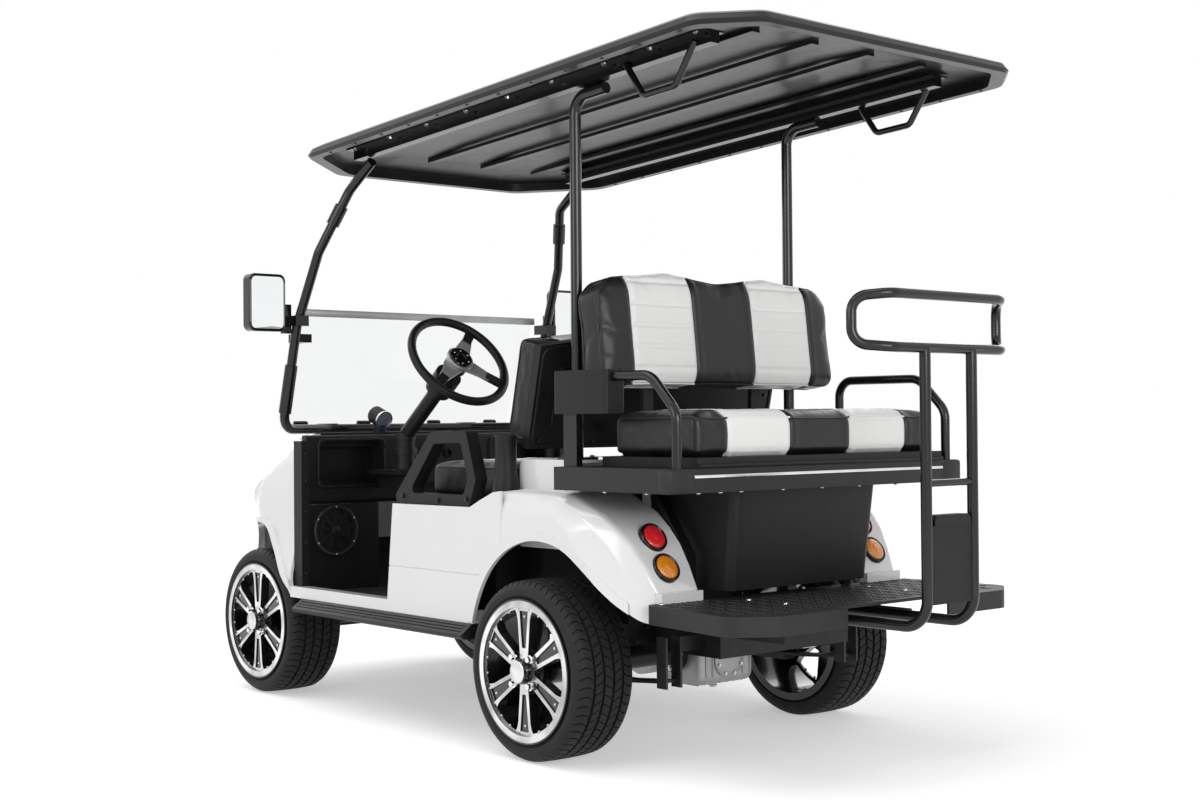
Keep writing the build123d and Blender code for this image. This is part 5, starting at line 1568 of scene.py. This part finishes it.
class DashTrim(SubAssembly):
    """Gauge, dash switches, cubby frames and speaker cones."""

    GAUGE, GAUGE_TILT, GAUGE_OUT = (176.0, -590.0, 926.0), 70.0, 0.028
    MARKS, MARK_REACH, LONG_MARK, SHORT_MARK = 11, 0.0252, 0.0052, 0.0032
    CUBBY, CUBBY_Y, CUBBY_CORD = ((221, 697), (481, 697), (481, 852), (221, 852)), -490.5, 0.0052
    SWITCHES, KEY, SOCKET = (104.0, 60.0, 16.0), (150.0, -492.0, 800.0), (-40.0, -492.0, 800.0)
    SPEAKER, SPEAKER_SCREWS = (428.0, -480.0, 554.0), 0.0782

    def make(self) -> None:
        """Make and mount the dash trim."""
        self._gauge()
        self._cubbies()
        self._switches()
        self._speakers()

    def _gauge(self) -> None:
        """Dial with a chrome ring, marks and a needle, on the gauge pod."""
        # the pod leans back, and its face looks at the driver
        axis = -(Matrix.Rotation(math.radians(self.GAUGE_TILT), 3, "X") @ Vector(UP))
        base = aim(at(*self.GAUGE) + axis * self.GAUGE_OUT, axis)
        gauge = MeshBuilder("gauge")
        gauge.lathe([(0.0275, -0.002), (0.0325, -0.002), (0.0332, 0.0015), (0.0318, 0.0046), (0.0285, 0.0046),
                     (0.0272, 0.0012), (0.0275, -0.002)], base, 48, 0)
        gauge.lathe([(0.0, -0.001), (0.0276, -0.001), (0.0276, 0.0012), (0.0, 0.0012)], base, 48, 1)
        for mark in range(self.MARKS):
            turn = math.radians(-30.0 + 24.0 * mark)
            length = self.LONG_MARK if mark % 2 == 0 else self.SHORT_MARK
            middle = Vector((math.cos(turn), math.sin(turn), 0.0)) * (self.MARK_REACH - length / 2.0)
            frame = base @ Matrix.Translation(middle + Vector((0.0, 0.0, 0.0014))) @ Matrix.Rotation(turn, 4, "Z")
            gauge.block((length, 0.0009, 0.0006), frame, 0.0002, 2)
        needle = base @ Matrix.Translation((0.004, 0.006, 0.0019)) @ Matrix.Rotation(math.radians(56.0), 4, "Z")
        gauge.block((0.021, 0.0012, 0.0008), needle, 0.0003, 3)
        gauge.lathe([(0.0, 0.0012), (0.0032, 0.0012), (0.0030, 0.0030), (0.0, 0.0033)], base, 24, 0)
        self.shop.fit(gauge, "cart", "black_gloss", CHROME, DIAL, MARK, LENS_RED)

    def _cubbies(self) -> None:
        """Raised frame round each dash cubby."""
        frames = MeshBuilder("cubby_frames")
        for side in SIDES:
            corners = [at(side * x, self.CUBBY_Y, z) for x, z in self.CUBBY]
            frames.tube(smooth_row(resample(corners, 0.045), 3), self.CUBBY_CORD, 8, closed=True)
        self.shop.fit(frames, "cart", "black_plastic", PLASTIC, smooth=SOFT_ANGLE)

    def _switches(self) -> None:
        """Key barrel, rocker switches and a socket on the centre of the dash."""
        panel = MeshBuilder("dash_switches")
        for x in self.SWITCHES:
            base = Matrix.Translation(at(x, -491.0, 800.0))
            panel.block((0.028, 0.008, 0.044), base, 0.002, 0)
            for proud, height, tilt in ((0.003, 0.009, 10.0), (0.002, -0.009, -8.0)):
                panel.block((0.020, 0.010, 0.017), base @ Matrix.Translation((0.0, proud, height)) @
                            Matrix.Rotation(math.radians(tilt), 4, "X"), 0.002, 1)
        key = aim(at(*self.KEY), Vector(REAR))
        panel.lathe([(0.0, 0.0), (0.015, 0.0), (0.0152, 0.004), (0.0125, 0.007), (0.0, 0.0072)], key, 32, 2)
        panel.block((0.0022, 0.012, 0.010), key @ Matrix.Translation((0.0, 0.0, 0.0076)), 0.0006, 0)
        socket = aim(at(*self.SOCKET), Vector(REAR))
        panel.lathe([(0.0, 0.001), (0.010, 0.001), (0.010, 0.006), (0.0165, 0.006), (0.0165, 0.0), (0.0, 0.0)], socket,
                    32, 1)
        self.shop.fit(panel, "cart", "black_plastic", PLASTIC_GREY, GLOSS_BLACK, CHROME)

    def _speakers(self) -> None:
        """Cone, dust cap and screws of each footwell speaker."""
        cones = MeshBuilder("speaker_cones")
        screws = []
        for side in SIDES:
            x, y, z = self.SPEAKER
            base = aim(at(side * x, y, z), Vector(REAR))
            cones.lathe([(0.0, 0.0005), (0.0695, 0.0005), (0.0695, 0.0058), (0.058, 0.0050), (0.052, 0.0072),
                         (0.045, 0.0040), (0.018, 0.0020), (0.0, 0.0020)], base, 64, 0)
            cones.lathe([(0.0, 0.004), (0.0158, 0.011), (0.0150, 0.0140), (0.008, 0.0165), (0.0, 0.0172)], base, 40, 1)
            cones.lathe([(0.0745, 0.012), (0.0835, 0.012), (0.0838, 0.0148), (0.0800, 0.0166), (0.0750, 0.0150),
                         (0.0745, 0.012)], base, 64, 2)
            for turn in range(6):
                place = base @ round_about(math.radians(30.0 + 60.0 * turn), self.SPEAKER_SCREWS, 0.0150)
                screws.append(Station(place, Vector(REAR), (0.007,) * 3))
        self.shop.fit(cones, "cart", "black_plastic", MAT, PLASTIC, PLASTIC_GREY)
        self.shop.fasten("speaker_screws", Head.PAN, screws, ZINC, "cart", "black_gloss")


class GlassTrim(SubAssembly):
    """Aluminium rail on the windscreen, pane clips and mirror glass."""

    RAIL, RAIL_SIZE = (0.0, -567.8, 1276.0), (0.9705, 0.0180, 0.0242)
    # how far the pane runs back and how far it rises
    PANE_RUN, PANE_RISE = 180.0, 391.0
    CLIPS, CLIP_Y, CLIP_Z = (150.0, 404.0), -737.0, 902.0
    MIRROR, MIRROR_Y, MIRROR_THICK = ((574, 1218), (691, 1218), (691, 1388), (574, 1388)), -549.4, 0.0018
    BEZEL, BEZEL_Y, BEZEL_CORD = ((570, 1214), (695, 1214), (695, 1392), (570, 1392)), -549.6, 0.0032

    def make(self) -> None:
        """Make and mount the trim."""
        rail = MeshBuilder("screen_rail")
        lean = math.atan2(self.PANE_RUN, self.PANE_RISE)
        rail.block(self.RAIL_SIZE, Matrix.Translation(at(*self.RAIL)), 0.003, 0)
        self.shop.fit(rail, "cart", "wheel_alloy", SATIN)
        clips = MeshBuilder("pane_clips")
        for side in SIDES:
            for x in self.CLIPS:
                base = Matrix.Translation(at(side * x, self.CLIP_Y, self.CLIP_Z)) @ Matrix.Rotation(-lean, 4, "X")
                clips.block((0.052, 0.016, 0.026), base, 0.003, 0)
                clips.block((0.036, 0.024, 0.012), base @ Matrix.Translation((0.0, 0.006, -0.008)), 0.002, 0)
        self.shop.fit(clips, "cart", "black_plastic", PLASTIC)
        glass = MeshBuilder("mirror_faces")
        for side in SIDES:
            corners = [at(side * x, self.MIRROR_Y, z) for x, z in self.MIRROR]
            glass.add(*self._pane(corners, self.MIRROR_THICK), 0)
            bezel = smooth_row(resample([at(side * x, self.BEZEL_Y, z) for x, z in self.BEZEL], 0.04), 3)
            glass.tube(bezel, self.BEZEL_CORD, 8, closed=True, slot=1)
        self.shop.fit(glass, "cart", "black_gloss", MIRROR, GLOSS_BLACK)

    @staticmethod
    def _pane(corners: Sequence[Vector], thickness: float) -> tuple[list[Vector], list[tuple[int, ...]]]:
        """Flat pane with rounded corners that faces the rear.

        Args:
            corners: Its four corners.
            thickness: How far it stands out towards the rear.

        Returns:
            Its points and faces.
        """
        row = smooth_row(resample(corners, 0.045), 3)
        count = len(row)
        shift = Vector((0.0, thickness, 0.0))
        points = row + [p + shift for p in row]
        faces: list[tuple[int, ...]] = [tuple(range(count)), tuple(range(2 * count - 1, count - 1, -1))]
        faces += [(i, count + i, count + (i + 1) % count, (i + 1) % count) for i in range(count)]
        return points, faces


# ---------------------------------------------------------------------------- rear kit
class DeckTread(SubAssembly):
    """Raised pattern on the footrest deck and the floor. Places are in millimetres."""

    BAR_ROWS, BAR_PITCH, BAR_START, BAR_Z = 13, 27.0, 1168.0, 441.0
    DECK_HALF, TAPER_Y, TAPER = 486.0, 1440.0, 0.9
    HANDLE_HALF, HANDLE_Y = 215.0, 1486.0
    BOX_HALF, BOX_Y = 285.0, 1222.0
    BAR_SIZE = (0.0205, 0.0058, 0.0030)
    STUD_ROWS, STUD_PITCH, STUD_START, STUD_Z = 26, 19.0, -462.0, 356.0
    FLOOR_HALF, FLOOR_END = 505.0, 30.0
    STUD_SIZE = (0.0085, 0.0085, 0.0030)

    def make(self) -> None:
        """Make and mount the deck's bars and the floor's studs."""
        up = Vector(UP)
        bars = []
        for row in range(self.BAR_ROWS):
            y = self.BAR_START + row * self.BAR_PITCH
            half = self.DECK_HALF - max(0.0, y - self.TAPER_Y) * self.TAPER
            for column in range(-18, 19):
                x = column * self.BAR_PITCH + (self.BAR_PITCH / 2.0 if row % 2 else 0.0)
                at_handle = abs(x) < self.HANDLE_HALF and y > self.HANDLE_Y
                at_box = abs(x) < self.BOX_HALF and y < self.BOX_Y
                if abs(x) > half or at_handle or at_box:
                    continue
                spin = math.radians(45.0 if (row + column) % 2 else -45.0)
                bars.append(Station(at(x, y, self.BAR_Z), up, self.BAR_SIZE, spin))
        self.shop.fasten("deck_tread", Head.BAR, bars, PLASTIC_GREY, "cart", "black_plastic")
        studs = []
        for row in range(self.STUD_ROWS):
            y = self.STUD_START + row * self.STUD_PITCH
            for column in range(-27, 28):
                x = column * self.STUD_PITCH + (self.STUD_PITCH / 2.0 if row % 2 else 0.0)
                if abs(x) < self.FLOOR_HALF and y < self.FLOOR_END:
                    studs.append(Station(at(x, y, self.STUD_Z), up, self.STUD_SIZE))
        self.shop.fasten("floor_studs", Head.STUD, studs, MAT, "cart", "black_plastic")


@dataclass(frozen=True)
class BoltRow:
    """A row of like fasteners: places on the drawing, direction, head, width and finish."""

    name: str
    body: str
    slot: str
    head: Head
    finish: Finish
    width: float
    direction: Point
    places: tuple[Point, ...]


def mirrored(places: Iterable[Point]) -> tuple[Point, ...]:
    """Places on the driver's side and their mirror images on the other side."""
    kept = tuple(places)
    return kept + tuple((-x, y, z) for x, y, z in kept)


def rail_z(y: float, rise: float) -> float:
    """Height in millimetres of the roof's lip plane at a place along the cart, plus a rise."""
    return 1738.0 + (y + 535.0) * math.tan(math.radians(3.2)) + rise


BOLT_ROWS = (
    BoltRow("seat_frame_bolts", "cart", "wheel_alloy", Head.PAN, ZINC, 0.012, DOWN,
            tuple((x, 1295.0, 728.0) for x in (466.0, 390.0, 316.0, 163.0, 13.0, -136.0, -292.0, -440.0))),
    BoltRow("seat_frame_side_bolts", "cart", "wheel_alloy", Head.PAN, ZINC, 0.012, DOWN,
            mirrored((563.0, y, 728.0) for y in (890.0, 1050.0, 1210.0))),
    BoltRow("strut_foot_bolts", "cart", "black_tube", Head.HEX, DARK_BOLT, 0.014, UP,
            mirrored((422.0 + dx, 774.0 + dy, 810.0) for dx in (-28.0, 28.0) for dy in (-28.0, 28.0))),
    BoltRow("roof_rail_bolts", "cart", "black_tube", Head.HEX, ZINC, 0.014, DOWN,
            mirrored((476.0, y, rail_z(y, 30.0)) for y in (-262.0, -60.0, 140.0, 340.0, 540.0, 740.0, 960.0, 1140.0,
                                                          1310.0))),
    BoltRow("roof_edge_bolts", "cart", "black_tube", Head.PAN, DARK_BOLT, 0.012, DOWN,
            mirrored((592.0, y, rail_z(y, 1.0)) for y in range(-220, 1400, 145))),
    BoltRow("deck_bolts", "cart", "wheel_alloy", Head.PAN, ZINC, 0.014, UP,
            mirrored(((470.0, 1158.0, 441.0), (236.0, 1240.0, 441.0), (236.0, 1370.0, 441.0)))),
    BoltRow("axle_flange_bolts", "cart", "wheel_alloy", Head.HEX, ZINC, 0.014, (1.0, 0.0, 0.0),
            tuple((77.0, 765.0 + 46.0 * math.cos(a), 243.0 + 46.0 * math.sin(a))
                  for a in (math.radians(45.0 * s) for s in range(8)))),
    BoltRow("guard_bolts", "cart", "black_gloss", Head.HEX, DARK_BOLT, 0.015, OUT,
            ((556.0, 120.0, 690.0), (556.0, 300.0, 682.0), (556.0, 440.0, 690.0))),
    BoltRow("post_bolts", "cart", "black_gloss", Head.PAN, DARK_BOLT, 0.011, REAR,
            mirrored((540.0, -470.0, z) for z in (420.0, 520.0, 620.0, 720.0, 810.0))),
)


class Fasteners(SubAssembly):
    """Every row of bolts and screws outside the wheels."""

    SHELL, SHELL_TILT, SHELL_DEPTH = (0.0, 489.0, 857.0), -13.0, 0.1303
    SCREWS = ((-440, 30), (-240, 26), (0, 26), (240, 26), (440, 30), (-440, 160), (440, 160), (-430, 272),
              (430, 272), (-240, 300), (240, 300))
    EDGE = ((-462, 14), (-462, 288), (-240, 319), (0, 298), (240, 319), (462, 288), (462, 14))
    CREASE = ((-400, 60), (-400, 236), (-230, 262), (0, 246), (230, 262), (400, 236), (400, 60))

    def make(self) -> None:
        """Make and mount every row."""
        for row in BOLT_ROWS:
            direction = Vector(row.direction)
            stations = [Station(at(*place), direction, (row.width,) * 3, 0.35 * i)
                        for i, place in enumerate(row.places)]
            self.shop.fasten(row.name, row.head, stations, row.finish, row.body, row.slot)
        self._shell_bolts()

    def _shell_bolts(self) -> None:
        """Screws and a raised edge on the moulded shell of the front backrest."""
        lean = Matrix.Translation(at(*self.SHELL)) @ Matrix.Rotation(math.radians(self.SHELL_TILT), 4, "X")
        out = lean.to_3x3() @ Vector(REAR)
        screws, outline, crease = ([lean @ Vector((x / 1000.0, self.SHELL_DEPTH, z / 1000.0)) for x, z in spots]
                                   for spots in (self.SCREWS, self.EDGE, self.CREASE))
        stations = [Station(place, out, (0.012,) * 3) for place in screws]
        self.shop.fasten("shell_screws", Head.HEX, stations, DARK_BOLT, "cart", "black_gloss")
        edge = MeshBuilder("shell_edge")
        for row, radius in ((outline, 0.0042), (crease, 0.0034)):
            edge.tube(smooth_row(resample(row, 0.05), 2), radius, 8, closed=True)
        self.shop.fit(edge, "cart", "black_plastic", PLASTIC, smooth=SOFT_ANGLE)


class RearKitTrim(SubAssembly):
    """Bright strip and end caps of the seat frame, cup holders and housing ribs."""

    STRIP, STRIP_SIZE = (0.0, 1304.2, 769.0), (0.978, 0.0035, 0.0075)
    CAP, CAP_SIZE, CAP_SOFT = (533.5, 1281.0, 758.5), (0.080, 0.050, 0.0625), 0.009
    CUP = (511.0, 566.0, 700.0)
    COVER, COVER_BOLTS = (-52.0, 871.0, 226.0), 0.047
    DRAIN, DRAIN_SIZE = (-60.0, 800.0, 139.0), (0.022, 0.022, 0.014)

    def make(self) -> None:
        """Make and mount the trim."""
        strip = MeshBuilder("frame_strip")
        strip.block(self.STRIP_SIZE, Matrix.Translation(at(*self.STRIP)), 0.001, 0)
        self.shop.fit(strip, "cart", "wheel_alloy", ALLOY)
        caps = MeshBuilder("frame_caps")
        for side in SIDES:
            x, y, z = self.CAP
            caps.block(self.CAP_SIZE, Matrix.Translation(at(side * x, y, z)), self.CAP_SOFT, 0)
        self.shop.fit(caps, "cart", "black_plastic", PLASTIC_GREY)
        self._cup_holders()
        self._housing()

    def _cup_holders(self) -> None:
        """Round cup holder behind the arm guard at each end of the front bench."""
        cups = MeshBuilder("cup_holders")
        for side in SIDES:
            x, y, z = self.CUP
            base = Matrix.Translation(at(side * x, y, z))
            cups.lathe([(0.0, 0.0), (0.0380, 0.0), (0.0385, 0.020), (0.0360, 0.048), (0.0308, 0.062), (0.0300, 0.160),
                        (0.0312, 0.164), (0.0312, 0.1695), (0.0300, 0.171), (0.0272, 0.171), (0.0264, 0.160),
                        (0.0262, 0.085), (0.0, 0.083)], base, 48, 0)
        self.shop.fit(cups, "cart", "black_plastic", PLASTIC)

    def _housing(self) -> None:
        """Ribs, a cover plate and a drain plug on the gear housing."""
        ribs = MeshBuilder("housing_ribs")
        for x in (-140.0, -110.0, -80.0, -50.0, -20.0, 10.0, 36.0):
            ribs.block((0.005, 0.120, 0.006), Matrix.Translation(at(x, 781.0, 151.5)), 0.002, 0)
            ribs.block((0.005, 0.006, 0.100), Matrix.Translation(at(x, 872.5, 226.0)), 0.002, 0)
        cover = aim(at(*self.COVER), Vector(REAR))
        ribs.lathe([(0.0, 0.0), (0.056, 0.0), (0.0565, 0.006), (0.052, 0.010), (0.030, 0.012), (0.0, 0.0125)],
                   cover, 48, 0)
        self.shop.fit(ribs, "cart", "cast_alloy", CASTING)
        ring = [Station(cover @ round_about(math.radians(45.0 * s + 20.0), self.COVER_BOLTS, 0.0095), Vector(REAR),
                        (0.011,) * 3) for s in range(8)]
        ring.append(Station(at(*self.DRAIN), Vector(DOWN), self.DRAIN_SIZE))
        self.shop.fasten("housing_bolts", Head.HEX, ring, ZINC, "cart", "wheel_alloy")


# ---------------------------------------------------------------------------- stage
class Studio:
    """Camera, soft lights and the pale floor."""

    YAW, PITCH, ROLL = 0.707563, -0.0112825, -0.0082475
    LENS, SENSOR, SPOT = 50.019, 36.0, (3.342276, 3.984827, 0.914609)
    SUN, SUN_WIDTH, SUN_TURN = 1.12, 55.0, (14.0, 18.0, 0.0)
    PANEL_AIM, PANEL_RATIO = (0.0, 0.0, 0.8), 0.6
    # name, place in metres, watts and width in metres
    PANELS = (("panel_left", (4.8, 0.4, 2.2), 42.0, 2.6), ("panel_rear", (1.4, 5.6, 2.0), 96.0, 2.8),
              ("panel_far", (-4.8, -1.2, 3.2), 34.0, 3.0), ("panel_front", (0.6, -5.2, 2.6), 34.0, 2.6))
    FLOOR_REACH, FLOOR_COLOR, FLOOR_GLOW = 60.0, 0.80, 0.42
    WORLD_LIGHT, WORLD_SEEN = 0.47, 1.0

    def make(self) -> None:
        """Make the camera, the lights, the floor and the world."""
        self._camera()
        self._lights()
        self._floor()
        self._world()
        bpy.context.scene.view_settings.view_transform = "Standard"

    def _camera(self) -> None:
        """Camera at the viewing angle of the reference picture."""
        cos_p, sin_p = math.cos(self.PITCH), math.sin(self.PITCH)
        ahead = Vector((-math.sin(self.YAW) * cos_p, -math.cos(self.YAW) * cos_p, -sin_p))
        right = ahead.cross(Vector(UP)).normalized()
        up = right.cross(ahead)
        cos_r, sin_r = math.cos(self.ROLL), math.sin(self.ROLL)
        side, top = right * cos_r + up * sin_r, up * cos_r - right * sin_r
        data = bpy.data.cameras.new("camera")
        data.sensor_width, data.lens = self.SENSOR, self.LENS
        data.clip_start, data.clip_end = 0.1, 200.0
        camera = place_object("camera", data)
        axes = (side, top, -ahead, Vector(self.SPOT))
        camera.matrix_world = Matrix([[axis[row] for axis in axes] for row in range(3)] + [[0.0, 0.0, 0.0, 1.0]])
        bpy.context.scene.camera = camera

    def _lights(self) -> None:
        """A wide soft sun from above and four large panels that give the dark parts their sheen."""
        sun = bpy.data.lights.new("overhead", "SUN")
        sun.energy, sun.angle = self.SUN, math.radians(self.SUN_WIDTH)
        place_object("overhead", sun).rotation_euler = [math.radians(turn) for turn in self.SUN_TURN]
        for name, place, energy, size in self.PANELS:
            data = bpy.data.lights.new(name, "AREA")
            data.shape, data.size, data.size_y, data.energy = "RECTANGLE", size, size * self.PANEL_RATIO, energy
            panel = place_object(name, data)
            panel.location = place
            panel.rotation_euler = (Vector(self.PANEL_AIM) - Vector(place)).to_track_quat("-Z", "Y").to_euler()

    @staticmethod
    def _seen(forge: ShaderForge) -> Socket:
        """Socket that is 1 for camera, glossy and transmitted rays.

        Args:
            forge: Forge of the tree it goes into.

        Returns:
            The socket.
        """
        path = forge.add("ShaderNodeLightPath").outputs
        mirrored_or_direct = forge.math("MAXIMUM", path["Is Camera Ray"], path["Is Glossy Ray"])
        return forge.math("MAXIMUM", mirrored_or_direct, path["Is Transmission Ray"])

    def _floor(self) -> None:
        """Pale floor that shows white where it is lit and keeps the cart's shadow."""
        material = bpy.data.materials.new("floor")
        forge = ShaderForge.blank(material)
        matte = forge.wire("ShaderNodeBsdfDiffuse", {"Color": (self.FLOOR_COLOR,) * 3})
        glow = forge.wire("ShaderNodeEmission", {"Color": (self.FLOOR_GLOW,) * 3, "Strength": self._seen(forge)})
        both = forge.wire("ShaderNodeAddShader", {0: matte, 1: glow})
        forge.link(both, forge.add("ShaderNodeOutputMaterial").inputs["Surface"])
        mesh = bpy.data.meshes.new("floor")
        reach = self.FLOOR_REACH
        mesh.from_pydata([(-reach, -reach, 0.0), (reach, -reach, 0.0), (reach, reach, 0.0), (-reach, reach, 0.0)], [],
                         [(0, 1, 2, 3)])
        mesh.materials.append(material)
        floor = place_object("floor", mesh)

    def _world(self) -> None:
        """Even studio light that is seen as white."""
        world = bpy.data.worlds.new("studio")
        bpy.context.scene.world = world
        forge = ShaderForge.blank(world)
        level = forge.ranged(self._seen(forge), end=(self.WORLD_LIGHT, self.WORLD_SEEN))
        light = forge.wire("ShaderNodeBackground", {"Color": (1.0, 1.0, 1.0), "Strength": level})
        forge.link(light, forge.add("ShaderNodeOutputWorld").inputs["Surface"])


# ---------------------------------------------------------------------------- whole cart
class Cart:
    """Puts the whole dressed cart together."""

    def __init__(self, frame: dict) -> None:
        self.shop = Workshop(frame["nodes"])

    def make(self) -> None:
        """Dress every part of the cart."""
        steps: tuple[tuple[str, Callable[[], None]], ...] = (
            ("seating", Seating(self.shop).make),
            ("construction nodes", Carcass(self.shop).dress),
            ("wheels", self._wheels),
            ("lamps", Lamps(self.shop).make),
            ("steering wheel", SteeringTrim(self.shop).make),
            ("dash", DashTrim(self.shop).make),
            ("glass", GlassTrim(self.shop).make),
            ("deck", DeckTread(self.shop).make),
            ("fasteners", Fasteners(self.shop).make),
            ("rear kit", RearKitTrim(self.shop).make),
        )
        for label, step in steps:
            step()
            LOG.info("made %s", label)

    def _wheels(self) -> None:
        """Tyres and rim trim of all four wheels."""
        tyre, trim = Tyre(self.shop), RimTrim(self.shop)
        for wheel in WHEELS:
            tyre.make(wheel)
            trim.make(wheel)


def main() -> None:
    """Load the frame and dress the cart."""
    logging.basicConfig(level=logging.INFO, format="%(message)s")
    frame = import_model()
    Studio().make()
    Cart(frame).make()


if __name__ == "__main__":
    main()
